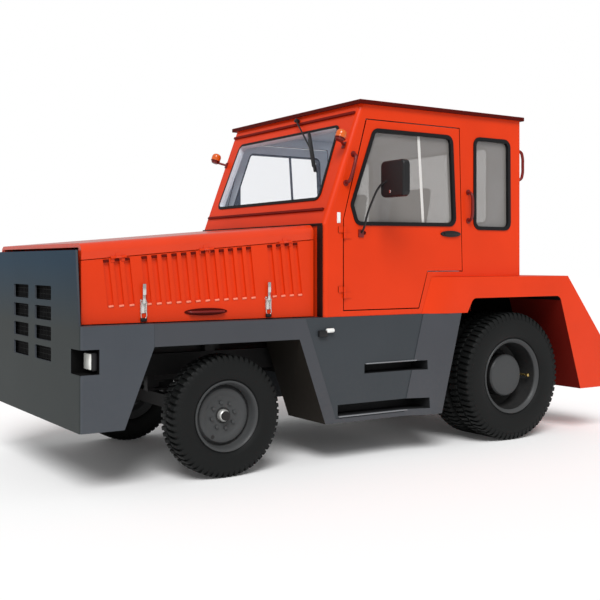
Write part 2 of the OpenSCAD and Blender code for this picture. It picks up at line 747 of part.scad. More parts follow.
mirror_w = 250;
mirror_h = 245;
mirror_t = 55;
mirror_reach = 255;
mirror_y = door_front + 236;
mirror_z = 1912;
mirror_arm_d = 14;

module mirror_set() {
    foot_y = mirror_y - 95;
    foot_z = 1552;
    path = [[cab_x + seam + 14, foot_y, foot_z + 10], [cab_x + 42, foot_y, foot_z + 45],
        [cab_x + 75, foot_y + 10, foot_z + 150], [cab_x + 138, mirror_y - 45, mirror_z - 52],
        [cab_x + mirror_reach - 60, mirror_y - 8, mirror_z - 10]];
    translate([cab_x + seam, foot_y, foot_z]) block([0, -22, -26], [9, 22, 26]);
    for (i = [0:len(path) - 2]) arm(path[i], path[i + 1], mirror_arm_d);
    translate([cab_x + mirror_reach, mirror_y, mirror_z]) rotate([90, 0, 0])
        translate([0, 0, -mirror_t / 2]) linear_extrude(mirror_t)
            polygon(rounded([[-mirror_w, -mirror_h] / 2, [mirror_w, -mirror_h] / 2, [mirror_w, mirror_h] / 2,
                [-mirror_w, mirror_h] / 2], 34, 5));
}

// A round bar from p to q, run on a little at both ends so that two bars close at a bend
module arm(p, q, d) {
    v = q - p;
    extra = 0.35 * d;
    translate(p) rotate([0, acos(v[2] / norm(v)), atan2(v[1], v[0])])
        translate([0, 0, -extra]) cylinder(d = d, h = norm(v) + 2 * extra);
}

module mirror_left() color(black) on_side(true) mirror_set();
module mirror_right() color(black) on_side(false) mirror_set();

// Inside the cab

wheel_x = 390;
wheel_tilt = 35;
wheel_pos = [wheel_x, y_cab + wall_t + 335, 1640];
column_d = 24;

module dashboard() color(black) {
    x = cab_x - wall_t - 30;
    y0 = y_cab + wall_t + seam;
    slab(-x, x, [[y0, 1390], [y0 + 215, 1390], [y0 + 235, 1420], [y0 + 190, 1585], [y0 + 30, 1600], [y0, 1600]]);
    // Steering column up to the wheel's hub
    translate(wheel_pos) rotate([-wheel_tilt, 0, 0]) {
        translate([0, 0, -260]) cylinder(d = 56, h = 225);
        translate([0, 0, -60]) cylinder(d = column_d, h = 82);
    }
}

module steering_wheel() color(black) translate(wheel_pos) rotate([-wheel_tilt, 0, 0]) {
    rim_d = 28;
    rotate_extrude() translate([(steering_d - rim_d) / 2, 0]) circle(d = rim_d);
    difference() {
        union() {
            translate([0, 0, -26]) cylinder(d = 84, h = 40);
            for (a = [90, 210, 330]) rotate(a) block([20, -15, -12], [(steering_d - rim_d) / 2, 15, 0]);
        }
        translate([0, 0, -40]) cylinder(d = column_d + 2 * run, h = 70);
    }
}

seat_x = 400;
seat_w = 480;
seat_y = shelf_y - 226;

module seats() color([0.12, 0.12, 0.13]) both() translate([seat_x, seat_y, cab_floor_z + floor_t + seam]) {
    block([-seat_w / 2 + 30, 20, 0], [seat_w / 2 - 30, shelf_y - seat_y - 4, 332]);
    translate([-seat_w / 2, 0, 0]) rotate([90, 0, 90]) linear_extrude(seat_w)
        polygon(rounded([[-20, 330], [430, 330], [470, 455], [-30, 455]], 25, 4));
    translate([-seat_w / 2, 0, 0]) rotate([90, 0, 90]) linear_extrude(seat_w)
        polygon(rounded([[400, 440], [515, 440], [585, 930], [500, 930]], 35, 4));
}

// Rear body

tail_low_z = 345;
tail_knee_z = 620;
fender_rear_top = y_rear + 563;
fender_inner = skirt_inner - 40;

arch_r_front_low = y_rear - 505;
arch_r_front_top = y_rear - 447;
arch_r_rear_top = y_rear + 473;
arch_r_rear_low = y_rear + 708;
arch_r_top_z = 1090;

arch_r_corner = 50;

module fender_body() {
    foot = [arch_r_front_low, deck_z + seam];
    arch = [[arch_r_front_top, arch_r_top_z], [arch_r_rear_top, arch_r_top_z]];
    heel = [arch_r_rear_low, tail_low_z];
    outline = concat([[fender_y_low, deck_z + seam], foot], corner_arc(foot, arch[0], arch[1], arch_r_corner, 6),
        corner_arc(arch[0], arch[1], heel, arch_r_corner, 6), [heel, [y_tail, tail_low_z],
        [y_tail, tail_knee_z], [fender_rear_top, fender_top], [fender_y_top, fender_top]]);
    intersection() {
        slab(fender_inner, fender_x, outline);
        rake_prism(fender_lean, 0, fender_top + over, [
            [fender_inner - over, fender_y_low - over], [cab_x - wall_t, fender_y_low - over],
            [cab_x, fender_y_low], [fender_x + 1, fender_y_low + flare_l], [fender_x + 1, y_tail + flare_l],
            [fender_inner - over, y_tail + flare_l]], deck_z);
    }
}

module fender_left() color(orange) on_side(true) fender_body();
module fender_right() color(orange) on_side(false) fender_body();

module rear_deck() color(orange) {
    x = fender_inner - seam;
    t = plate_t;
    slab(-x, x, [[y_cab_end + seam, fender_top - t], [fender_rear_top - 6, fender_top - t],
        [y_tail - t, tail_knee_z - 6], [y_tail - t, 420], [y_tail, 420], [y_tail, tail_knee_z],
        [fender_rear_top, fender_top], [y_cab_end + seam, fender_top]]);
    // Web that closes the deck under the cab, and the stiff tail plate over the frame
    block([-x, y_cab_end - 60, rail_top + 120], [x, y_cab_end - 60 + t, fender_top - seam]);
    block([-x, y_cab_end - 60, fender_top - t], [x, y_cab_end + 1, fender_top - seam]);
    block([-rail_x, y_tail - rail_short + seam, rail_z - 30], [rail_x, y_tail - t + 1, rail_z - 10]);
    block([-rail_x, y_tail - rail_short + seam, rail_z - 30], [rail_x, y_tail - rail_short + t, rail_top - 10]);
    for (s = [-1, 1]) block([s * 300 - 20, y_cab_end - 60, rail_top + seam], [s * 300 + 20, y_cab_end - 48, rail_top + 121]);
}

hitch_z = 480;
jaw_r = 52;
hitch_y = y_hitch - jaw_r;

module hitch() color([0.1, 0.1, 0.1]) {
    jaw_t = 32;
    difference() {
        union() {
            block([-150, y_tail + seam, hitch_z - 130], [150, y_tail + 25, hitch_z + 130]);
            for (s = [-1, 1]) translate([0, 0, hitch_z + s * (hitch_jaw + jaw_t) / 2 - jaw_t / 2]) {
                translate([0, hitch_y, 0]) cylinder(r = jaw_r, h = jaw_t);
                block([-jaw_r, y_tail + 20, 0], [jaw_r, hitch_y, jaw_t]);
            }
        }
        translate([0, hitch_y, hitch_z - 200]) cylinder(d = hitch_bore_d, h = 400);
    }
}

module tail_lamps() color(red) both()
    translate([fender_x - 210, y_tail + seam, 470]) {
        rotate([-90, 0, 0]) linear_extrude(34)
            polygon(rounded([[-75, -45], [75, -45], [75, 45], [-75, 45]], 14, 4));
    }

// Small fittings of the cab

module turn_lamps() color(amber) both() on_screen() translate([cab_x - 42, 0, screen_l - 285]) {
    reach = [58, -85, 0];
    block([-18, -6, -54], [18, -seam, -6]);
    arm([0, -11, -30], reach + [0, 0, -30], 14);
    // Base, lens and domed top in one turned profile
    translate(reach) rotate_extrude()
        polygon([[0, -40], [24, -40], [30, -34], [30, -24], [37, -22], [38, 16], [34, 28], [24, 37], [12, 41], [0, 42]]);
}

module grab_handles() color(red) both() {
    // On the screen pillar, then between the door and the quarter window: [y, z] of the lower and upper foot
    stand = 46;
    pillar_low = wall_top - 555;
    pillar_high = wall_top - 355;
    for (ends = [[[door_edge(pillar_low) - 54, pillar_low], [door_edge(pillar_high) - 50, pillar_high]],
        [[door_end + 59, window_low + 42], [door_end + 59, window_low + 252]]]) {
        foot = [for (e = ends) [cab_x + seam, e[0], e[1]]];
        for (f = foot) translate(f) {
            bar_x(34, 0, 9);
            bar_x(12, 8, stand);
        }
        arm(foot[0] + [stand, 0, 0], foot[1] + [stand, 0, 0], 20);
    }
}

module wiper() color(black) on_screen() {
    pivot = [100, -27, screen_l - 46];
    blade_top = [355, -27, screen_high - 22];
    blade_low = [570, -27, screen_low + 210];
    translate([pivot[0], -seam, pivot[2]]) rotate([90, 0, 0]) cylinder(d = 32, h = 34);
    arm(pivot, (blade_top + blade_low) / 2, 11);
    arm(blade_top, blade_low, 20);
}

// Axles and wheels

spring_x = rail_x - rail_w / 2;
axle_h = 90;

// One leaf spring under a rail: the main leaf and two shorter ones on the axle at z
module leaf_spring(y, z) {
    span = 620;
    leaf = 14;
    for (i = [0:2]) block([spring_x - 32, y - span / 2 + i * 110, z - i * leaf],
        [spring_x + 32, y + span / 2 - i * 110, z - i * leaf + leaf]);
    for (s = [-1, 1]) block([spring_x - 25, y + s * (span / 2 - 25) - 25, z + leaf],
        [spring_x + 25, y + s * (span / 2 - 25) + 25, rail_z - seam]);
}

boss_d = 92;
boss_h = 110;

module front_axle() color(black) {
    z = front_r;
    difference() {
        union() {
            block([-kingpin_x, y_front - 45, z - axle_h / 2], [kingpin_x, y_front + 45, z + axle_h / 2]);
            both() translate([kingpin_x, y_front, z - boss_h / 2]) cylinder(d = boss_d, h = boss_h);
        }
        both() translate([kingpin_x, y_front, 0]) cylinder(d = kingpin_d + 2 * run, h = rail_z);
    }
    both() {
        block([spring_x - 32, y_front - 45, z + axle_h / 2 - 1], [spring_x + 32, y_front + 45, z + axle_h / 2 + 60]);
        leaf_spring(y_front, z + axle_h / 2 + 80);
    }
}

spindle_d = 60;
hub_in = 70;
front_mid_x = front_face_x - front_tyre_w / 2;
arm_l = 170;
ball_d = 20;

module knuckle_body() {
    ear = 30;
    translate([kingpin_x, y_front, front_r]) {
        translate([0, 0, -boss_h / 2 - ear - 2]) cylinder(d = kingpin_d, h = boss_h + 2 * ear + 4);
        for (z = [-boss_h / 2 - ear - 1, boss_h / 2 + 1]) translate([0, 0, z]) {
            cylinder(d = 80, h = ear);
            block([0, -40, 0], [hub_in, 40, ear]);
        }
        block([hub_in - 18, -40, -boss_h / 2 - ear - 1], [hub_in, 40, boss_h / 2 + ear + 1]);
        bar_x(spindle_d, hub_in - 2, front_mid_x - kingpin_x + 66);
        // Steering arm back to the tie rod's ball pin
        block([-18, 20, -boss_h / 2 - ear - 1], [18, arm_l, -boss_h / 2 - 1 - 6]);
        translate([0, arm_l, -boss_h / 2 - ear - 1]) cylinder(d = 48, h = ear - 6);
        translate([0, arm_l, -boss_h / 2 - ear - 1]) cylinder(d = ball_d, h = 68);
    }
}

module knuckle_left() color([0.12, 0.12, 0.12]) on_side(true) knuckle_body();
module knuckle_right() color([0.12, 0.12, 0.12]) on_side(false) knuckle_body();

module tie_rod() color([0.12, 0.12, 0.12]) {
    z = front_r - boss_h / 2 + 10;
    translate([0, y_front + arm_l, z]) {
        difference() {
            union() {
                bar_x(34, -kingpin_x + 28, kingpin_x - 28);
                both() translate([kingpin_x, 0, -14]) cylinder(d = 58, h = 28);
                both() bar_x(28, kingpin_x - 40, kingpin_x - 12);
            }
            both() translate([kingpin_x, 0, -over]) cylinder(d = ball_d + 2 * run, h = 2 * over);
        }
    }
}

// A tyre on its rim, as [radius, across]: bead, flange and tread radii, tyre width and rim width
module tyre_section(bead_r, flange_r, tread_r, w, rim_w) {
    bead = rim_w / 2 - 2 * seam;
    half = [[bead_r, bead - 6], [flange_r - 2, bead + 2], [flange_r + 3, bead + 2], [flange_r + 12, 0.46 * w],
        [lerp(flange_r, tread_r, 0.3), 0.495 * w], [lerp(flange_r, tread_r, 0.5), 0.5 * w],
        [lerp(flange_r, tread_r, 0.72), 0.485 * w], [tread_r - 18, 0.455 * w], [tread_r - 5, 0.43 * w],
        [tread_r, 0.38 * w]];
    last = len(half) - 1;
    polygon(concat(half, [for (i = [last:-1:0]) [half[i][0], -half[i][1]]]));
}

// Turns a section drawn as [radius, across] about the axle, its middle at x
module wheel_turn(x, y, r) {
    translate([x, y, r]) rotate([0, 90, 0]) rotate_extrude($fn = 96) children();
}

front_seat_r = front_rim_d / 2 - 20;
front_rim_w = 144;
rear_seat_r = rear_rim_d / 2 - 24;
rear_rim_w = 164;

module tyre_front(left) color(black) on_side(left)
    wheel_turn(front_mid_x, y_front, front_r) tyre_section(front_seat_r + seam, front_rim_d / 2, front_r, front_tyre_w, front_rim_w);

module tyre_front_left() tyre_front(true);
module tyre_front_right() tyre_front(false);

// Rim barrel with two flanges, as [radius, across]
module rim_barrel(seat_r, flange_r, w) {
    t = 9;
    polygon([[seat_r - t, -w / 2], [flange_r - 5, -w / 2 - 12], [flange_r, -w / 2 - 8], [flange_r - 2, -w / 2 - 2],
        [seat_r, -w / 2 + 6], [seat_r, w / 2 - 6], [flange_r - 2, w / 2 + 2], [flange_r, w / 2 + 8],
        [flange_r - 5, w / 2 + 12], [seat_r - t, w / 2], [seat_r - t - 1, 0]]);
}

front_nut_pcd = 165;
front_nuts = 8;
front_disc_out = 30;

module rim_front(left) color(grey) on_side(left) {
    w = front_rim_w;
    r0 = front_seat_r;
    difference() {
        wheel_turn(front_mid_x, y_front, front_r) {
            rim_barrel(r0, front_rim_d / 2, w);
            // Dished disc and hub
            polygon([[spindle_d / 2 + run, front_disc_out], [spindle_d / 2 + run, -70], [62, -70], [70, 0],
                [130, 6], [150, -2], [r0 - 5, -4], [r0 - 5, 8], [158, 10], [136, 20], [80, 22], [56, front_disc_out]]);
            polygon([[0, 68], [46, 68], [52, 60], [52, front_disc_out - 2], [spindle_d / 2 + run, front_disc_out - 2],
                [spindle_d / 2 + run, 67], [0, 67]]);
        }
        // Valve hole in the disc
        translate([front_mid_x - 60, y_front, front_r]) rotate([-150, 0, 0]) translate([0, 185, 0])
            rotate([0, 90, 0]) cylinder(d = 22, h = 120);
    }
    translate([front_mid_x + 18, y_front, front_r]) for (i = [0:front_nuts - 1])
        rotate([360 / front_nuts * i, 0, 0]) translate([0, front_nut_pcd / 2, 0]) rotate([0, 90, 0])
            cylinder(d = 24, h = 22, $fn = 6);
}

module rim_front_left() rim_front(true);
module rim_front_right() rim_front(false);

rear_out_x = rear_face_x - rear_tyre_w / 2;
rear_in_x = rear_out_x - rear_tyre_w - twin_gap;
rear_spindle_d = 90;

module tyres_rear(left) color(black) on_side(left) for (x = [rear_out_x, rear_in_x])
    wheel_turn(x, y_rear, rear_r) tyre_section(rear_seat_r + seam, rear_rim_d / 2, rear_r, rear_tyre_w, rear_rim_w);

module tyres_rear_left() tyres_rear(true);
module tyres_rear_right() tyres_rear(false);

rear_hub_d = 318;
rear_hub_back = 85;

// Outer half of the twin rim's section, from the hub's flange round the barrel and back: [radius, across]
function twin_half(w, half, hub_r, seat_r, flange_r, t) = [[hub_r + 36, -half + 14], [seat_r - t, -w / 2 + 32],
    [seat_r - t, w / 2], [flange_r - 5, w / 2 + 12], [flange_r, w / 2 + 8], [flange_r - 2, w / 2 + 2],
    [seat_r, w / 2 - 6], [seat_r, -w / 2 + 6], [flange_r - 2, -w / 2 - 2], [flange_r, -w / 2 - 8],
    [flange_r - 5, -w / 2 - 12], [seat_r - t, -w / 2], [seat_r - t, -w / 2 + 18], [hub_r + 40, -half]];

module rim_rear(left) color(grey) on_side(left) {
    gap = rear_out_x - rear_in_x;
    hub_r = rear_hub_d / 2;
    bore_r = rear_spindle_d / 2 + run;
    hub_face = rear_tyre_w / 2 - rear_hub_back;
    outer = twin_half(rear_rim_w, gap / 2, hub_r, rear_seat_r, rear_rim_d / 2, 9);
    last = len(outer) - 1;
    inner = [for (i = [last - 1:-1:0]) [outer[i][0], -gap - outer[i][1]]];
    // Hub drum with a closed face, then out along both discs and barrels, and back to the spindle's bore
    wheel_turn(rear_out_x, y_rear, rear_r)
        polygon(concat([[0, hub_face], [hub_r - 12, hub_face], [hub_r, hub_face - 12], [hub_r, -gap / 2 + 14]],
            outer, inner, [[hub_r, -gap / 2 - 14], [bore_r, -gap / 2 - 60], [bore_r, hub_face - 30],
            [0, hub_face - 30]]));
}

module rim_rear_left() rim_rear(true);
module rim_rear_right() rim_rear(false);

module rear_axle() color(black) {
    translate([0, y_rear, rear_r]) {
        bar_x(150, -rear_in_x + 120, rear_in_x - 120);
        both() bar_x(rear_spindle_d, rear_in_x - 130, rear_out_x + rear_tyre_w / 2 - rear_hub_back - 40);
        rotate([90, 0, 0]) cylinder(d = 330, h = 150, center = true);
        bar_y(150, -150, -60);
    }
    both() {
        block([spring_x - 32, y_rear - 45, rear_r + 60], [spring_x + 32, y_rear + 45, rear_r + 86]);
        for (s = [-1, 1]) block([spring_x - 32, y_rear + s * 290 - 30, rear_r + 76], [spring_x + 32, y_rear + s * 290 + 30, rail_z - seam]);
        block([spring_x - 32, y_rear - 320, rear_r + 72], [spring_x + 32, y_rear + 320, rear_r + 86]);
    }
}

frame_rails();
nose();
radiator();
headlamps();
bonnet_top();
bonnet_left();
bonnet_right();
latches_left();
latches_right();
engine();
skirt_left();
skirt_right();
cab_floor();
cab_front();
cab_side_left();
cab_side_right();
cab_rear();
cab_roof();
cab_glass();
cab_seals();
dashboard();
seats();
steering_wheel();
door_left();
door_right();
door_glass_left();
door_glass_right();
door_trim_left();
door_trim_right();
mirror_left();
mirror_right();
fender_left();
fender_right();
rear_deck();
hitch();
turn_lamps();
tail_lamps();
grab_handles();
wiper();
front_axle();
rear_axle();
knuckle_left();
knuckle_right();
tie_rod();
tyre_front_left();
tyre_front_right();
rim_front_left();
rim_front_right();
tyres_rear_left();
tyres_rear_right();
rim_rear_left();
rim_rear_right();
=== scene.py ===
"""Airport tow tractor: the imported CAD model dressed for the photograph's view."""

from math import atan2, cos, exp, hypot, pi, radians, sin, tan

import bmesh
import bpy
from mathutils import Matrix, Vector


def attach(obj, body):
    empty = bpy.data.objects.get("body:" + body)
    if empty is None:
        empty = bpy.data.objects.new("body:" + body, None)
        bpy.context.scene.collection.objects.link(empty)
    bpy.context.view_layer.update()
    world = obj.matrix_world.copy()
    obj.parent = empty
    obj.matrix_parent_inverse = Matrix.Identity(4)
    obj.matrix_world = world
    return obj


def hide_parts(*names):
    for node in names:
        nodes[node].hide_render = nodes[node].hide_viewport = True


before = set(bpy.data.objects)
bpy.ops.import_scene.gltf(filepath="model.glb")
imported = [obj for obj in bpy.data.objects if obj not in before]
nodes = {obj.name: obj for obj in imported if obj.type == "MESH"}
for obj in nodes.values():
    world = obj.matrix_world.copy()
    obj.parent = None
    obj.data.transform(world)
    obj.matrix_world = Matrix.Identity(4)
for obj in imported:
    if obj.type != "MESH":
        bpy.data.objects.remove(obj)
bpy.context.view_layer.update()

# Stations of the CAD model in metres
Y_NOSE = -2.300  # front face of the nose
Y_FRONT = -1.325  # front axle
Y_REAR = 1.125  # rear axle
Y_CAB = -0.610  # foot of the cab's front wall
BODY_X = 0.880  # outer face of the skirts
BONNET_X = 0.800  # outer face of the bonnet panels
CAB_X = 0.870  # outer face of the cab's walls and doors
WALL_X = CAB_X + 0.0004  # where a fitting stands on that face
DECK_Z = 0.985  # foot of the bonnet panels
SCREEN_Z = 1.610  # where the cab's front wall starts to lean
SCREEN_RUN = 0.312
SCREEN_RISE = 0.835
RAKE = atan2(SCREEN_RUN, SCREEN_RISE)
SCREEN_L = hypot(SCREEN_RUN, SCREEN_RISE)
SCREEN_LOW = 0.186  # edges of the windscreen along the lean
SCREEN_HIGH = SCREEN_L - 0.152
SCREEN = Matrix.Translation((0.0, Y_CAB, SCREEN_Z)) @ Matrix.Rotation(-RAKE, 4, "X")
TO_SCREEN = SCREEN.inverted()
SIDES = ((1, "left"), (-1, "right"))


# Shader nodes

COLOR = "NodeSocketColor"
VALUE = "NodeSocketFloat"
MIX_A, MIX_B, MIX_OUT = 6, 7, 2  # colour sockets of a mix node
DUST = (0.20, 0.175, 0.15)
DUST_MOST = 0.6
DUST_ROUGH = 0.6
COAT_ROUGH = 0.12


def set_inputs(node, values):
    """Puts plain values on a node's sockets by their labels."""
    for label, value in values.items():
        node.inputs[label].default_value = value


def feed(tree, socket, value):
    """Gives a socket a link from another one, or a plain colour or number."""
    if isinstance(value, bpy.types.NodeSocket):
        tree.links.new(value, socket)
    else:
        socket.default_value = (*value, 1.0) if isinstance(value, tuple) else value


def group_tree(name, inputs, outputs):
    """A shader node group with {label: kind} sockets, and its two end nodes."""
    tree = bpy.data.node_groups.new(name, "ShaderNodeTree")
    for in_out, sockets in (("INPUT", inputs), ("OUTPUT", outputs)):
        for label, kind in sockets.items():
            tree.interface.new_socket(label, in_out=in_out, socket_type=kind)
    return tree, tree.nodes.new("NodeGroupInput"), tree.nodes.new("NodeGroupOutput")


def object_coords(tree):
    """The Object coordinates."""
    return tree.nodes.new("ShaderNodeTexCoord").outputs["Object"]


def height(tree):
    """The Z of the Object coordinates."""
    split = tree.nodes.new("ShaderNodeSeparateXYZ")
    tree.links.new(object_coords(tree), split.inputs["Vector"])
    return split.outputs["Z"]


def noise(tree, scale, detail=3.0):
    """Noise on Object coordinates; scale is a number or a socket."""
    node = tree.nodes.new("ShaderNodeTexNoise")
    feed(tree, node.inputs["Scale"], scale)
    node.inputs["Detail"].default_value = detail
    tree.links.new(object_coords(tree), node.inputs["Vector"])
    return node.outputs["Fac"]


def ramp(tree, source, low, high, out_low=0.0, out_high=1.0):
    """source mapped from low..high to out_low..out_high."""
    node = tree.nodes.new("ShaderNodeMapRange")
    set_inputs(node, {"From Min": low, "From Max": high, "To Min": out_low, "To Max": out_high})
    tree.links.new(source, node.inputs["Value"])
    return node.outputs["Result"]


def math_node(tree, operation, a, b):
    """a and b, each a socket or a number, through one math node."""
    node = tree.nodes.new("ShaderNodeMath")
    node.operation = operation
    feed(tree, node.inputs[0], a)
    feed(tree, node.inputs[1], b)
    return node.outputs["Value"]


def mix_node(tree, factor, a, b, blend="MIX"):
    """a and b, each a socket or a colour, mixed by a factor."""
    node = tree.nodes.new("ShaderNodeMix")
    node.data_type = "RGBA"
    node.blend_type = blend
    feed(tree, node.inputs["Factor"], factor)
    feed(tree, node.inputs[MIX_A], a)
    feed(tree, node.inputs[MIX_B], b)
    return node.outputs[MIX_OUT]


def make_worn_paint():
    """Paint with slow shade changes, and road dust that thins out upwards."""
    tree, start, end = group_tree("worn_paint",
        {"Color": COLOR, "Dust": COLOR, "Amount": VALUE, "Top": VALUE}, {"Color": COLOR, "Rough": VALUE})
    shade = ramp(tree, noise(tree, 2.2, 4.0), 0.3, 0.7, 0.94, 1.03)
    speckle = ramp(tree, noise(tree, 38.0, 5.0), 0.35, 0.75, 0.35, 1.0)
    rise = math_node(tree, "DIVIDE", height(tree), start.outputs["Top"])
    low = math_node(tree, "MAXIMUM", math_node(tree, "SUBTRACT", 1.0, rise), 0.0)
    spread = math_node(tree, "MULTIPLY", math_node(tree, "MULTIPLY", low, speckle), start.outputs["Amount"])
    dust = math_node(tree, "MINIMUM", spread, DUST_MOST)
    shaded = mix_node(tree, 1.0, start.outputs["Color"], shade, "MULTIPLY")
    tree.links.new(mix_node(tree, dust, shaded, start.outputs["Dust"]), end.inputs["Color"])
    tree.links.new(math_node(tree, "MULTIPLY", dust, DUST_ROUGH), end.inputs["Rough"])
    return tree


def make_fine_surface():
    """Fine grain as a height, and slow smudges as a roughness between two values."""
    tree, start, end = group_tree("fine_surface",
        {"Grain Scale": VALUE, "Smudge Scale": VALUE, "Rough Low": VALUE, "Rough High": VALUE},
        {"Height": VALUE, "Rough": VALUE})
    tree.links.new(noise(tree, start.outputs["Grain Scale"]), end.inputs["Height"])
    smudge = ramp(tree, noise(tree, start.outputs["Smudge Scale"]), 0.3, 0.7)
    spread = math_node(tree, "SUBTRACT", start.outputs["Rough High"], start.outputs["Rough Low"])
    more = math_node(tree, "MULTIPLY", smudge, spread)
    tree.links.new(math_node(tree, "ADD", more, start.outputs["Rough Low"]), end.inputs["Rough"])
    return tree


worn_paint = make_worn_paint()
fine_surface = make_fine_surface()


# Materials

def material(name, color, rough, metal=0.0, coat=0.0, shine=0.5):
    """A Principled material with plain values."""
    mat = bpy.data.materials.new(name)
    mat.use_nodes = True
    set_inputs(mat.node_tree.nodes["Principled BSDF"], {"Base Color": (*color, 1.0), "Roughness": rough,
        "Metallic": metal, "Coat Weight": coat, "Coat Roughness": COAT_ROUGH, "Specular IOR Level": shine})
    return mat


def group_in(mat, effect, values):
    """Places a node group with its own values in a material: the tree, the group and the shader."""
    tree = mat.node_tree
    group = tree.nodes.new("ShaderNodeGroup")
    group.node_tree = effect
    set_inputs(group, values)
    return tree, group, tree.nodes["Principled BSDF"]


def worn(name, color, rough, amount, top, coat=0.0, shine=0.5):
    """Worn paint, with an amount of dust at the ground that ends at the height top."""
    mat = material(name, color, rough, 0.0, coat, shine)
    tree, group, shader = group_in(mat, worn_paint,
        {"Color": (*color, 1.0), "Dust": (*DUST, 1.0), "Amount": amount, "Top": top})
    group.name = "worn"
    tree.links.new(group.outputs["Color"], shader.inputs["Base Color"])
    tree.links.new(math_node(tree, "ADD", group.outputs["Rough"], rough), shader.inputs["Roughness"])
    return mat


def bumpy(mat, scale, strength, distance=0.001):
    """Fine grain on a material's surface."""
    tree, group, shader = group_in(mat, fine_surface, {"Grain Scale": scale})
    bump = tree.nodes.new("ShaderNodeBump")
    set_inputs(bump, {"Strength": strength, "Distance": distance})
    tree.links.new(group.outputs["Height"], bump.inputs["Height"])
    tree.links.new(bump.outputs["Normal"], shader.inputs["Normal"])
    return mat


def smudged(name, color, scale, low, high, **finish):
    """A material whose roughness changes slowly from low to high, as handling leaves it."""
    mat = material(name, color, low, **finish)
    tree, group, shader = group_in(mat, fine_surface,
        {"Smudge Scale": scale, "Rough Low": low, "Rough High": high})
    tree.links.new(group.outputs["Rough"], shader.inputs["Roughness"])
    return mat


def shade_up(mat, color, low, high):
    """Blends a worn material's colour into another one between two heights."""
    tree = mat.node_tree
    socket = tree.nodes["worn"].inputs["Color"]
    plain = tuple(socket.default_value[:3])
    tree.links.new(mix_node(tree, ramp(tree, height(tree), low, high), plain, color), socket)


def window_glass(name, color, body):
    """Pane that the camera sees through; body is how much of its own colour shows."""
    mat = smudged(name, color, 6, 0.02, 0.09)
    set_inputs(mat.node_tree.nodes["Principled BSDF"], {"Alpha": body, "IOR": 1.45})
    return mat


def tinted_glass(name, color, outside, inside):
    """Outer face of a side window: tinted as seen from outside, nearly clear from the seats."""
    mat = window_glass(name, color, outside)
    tree = mat.node_tree
    facing = tree.nodes.new("ShaderNodeNewGeometry").outputs["Backfacing"]
    alpha = ramp(tree, facing, 0.0, 1.0, outside, inside)
    tree.links.new(alpha, tree.nodes["Principled BSDF"].inputs["Alpha"])
    return mat


orange = worn("orange_paint", (0.70, 0.040, 0.0045), 0.36, 0.05, 1.2, coat=0.05, shine=0.14)
bonnet_gloss = worn("bonnet_gloss", (0.70, 0.042, 0.005), 0.30, 0.05, 1.2, coat=0.55, shine=0.2)
# Dark red: painted shade on the roof's rim, in the door gaps and on the pull plate's recess; the door lock
# takes it too.
orange_shade = worn("dark_red_shade", (0.080, 0.005, 0.003), 0.5, 0.03, 1.2, shine=0.05)
# Louvre marks: dark red painted shade over each louvre and pale painted highlight under it.
louvre_painted_shade = worn("louvre_mouth", (0.120, 0.007, 0.004), 0.6, 0.02, 1.2, shine=0.05)
louvre_lip = worn("louvre_lip", (0.88, 0.24, 0.15), 0.35, 0.05, 1.2, shine=0.3)
# Dark red: painted shade along the screen's mouldings and on the tail's inner face.
dark_red_painted_shade = worn("dark_red_painted_shade", (0.150, 0.008, 0.005), 0.5, 0.03, 1.2, shine=0.05)
grey = worn("grey_paint", (0.060, 0.068, 0.080), 0.45, 0.10, 1.0, coat=0.02, shine=0.15)
skirt_grey = worn("skirt_grey", (0.043, 0.050, 0.057), 0.45, 0.08, 1.0, coat=0.02, shine=0.15)
# The nose's front: darker than its sides as painted shade, blending upwards into painted bluish sky light.
nose_front_painted_shade = worn("nose_front_painted_shade", (0.038, 0.044, 0.044), 0.5, 0.05, 1.2, shine=0.05)
shade_up(nose_front_painted_shade, (0.020, 0.043, 0.068), 0.95, 1.36)
# Lighter grey: painted highlight on the skirt's raised border.
skirt_border_highlight = worn("grey_painted_highlight", (0.058, 0.062, 0.071), 0.42, 0.12, 1.0, coat=0.02, shine=0.15)
# Pale grey: painted highlight on the strips at the toe slots' edges.
step_lip_highlight = worn("step_lip_highlight", (0.20, 0.21, 0.225), 0.4, 0.2, 1.0)
chassis = worn("chassis_paint", (0.012, 0.012, 0.013), 0.55, 0.10, 1.0, shine=0.25)
arch_dark = worn("arch_shade", (0.016, 0.013, 0.010), 0.7, 0.08, 1.0, shine=0.15)
slot_dark = worn("slot_shade", (0.014, 0.015, 0.017), 0.6, 0.05, 1.0, shine=0.2)
# Near black: painted shade in hollows, lamp pockets, behind the grille and in the rear wheel's house.
hole = worn("dark_hole", (0.003, 0.003, 0.003), 0.9, 0.004, 1.0, shine=0.1)
iron = worn("cast_iron", (0.040, 0.040, 0.042), 0.6, 0.2, 1.2, shine=0.3)
rim_paint = worn("rim_grey", (0.052, 0.055, 0.057), 0.42, 0.08, 0.9, coat=0.04, shine=0.18)
# Dark grey: painted shade in the rim's barrel and groove.
rim_shade = worn("rim_barrel", (0.016, 0.017, 0.018), 0.55, 0.10, 0.9, shine=0.2)
tyre = bumpy(worn("tyre_rubber", (0.0075, 0.0082, 0.0082), 0.55, 0.006, 0.9, shine=0.15), 700, 0.15)
plastic = bumpy(material("black_plastic", (0.011, 0.011, 0.012), 0.42, shine=0.3), 900, 0.12)
gasket = bumpy(material("rubber_seal", (0.006, 0.006, 0.007), 0.55, shine=0.2), 350, 0.2)
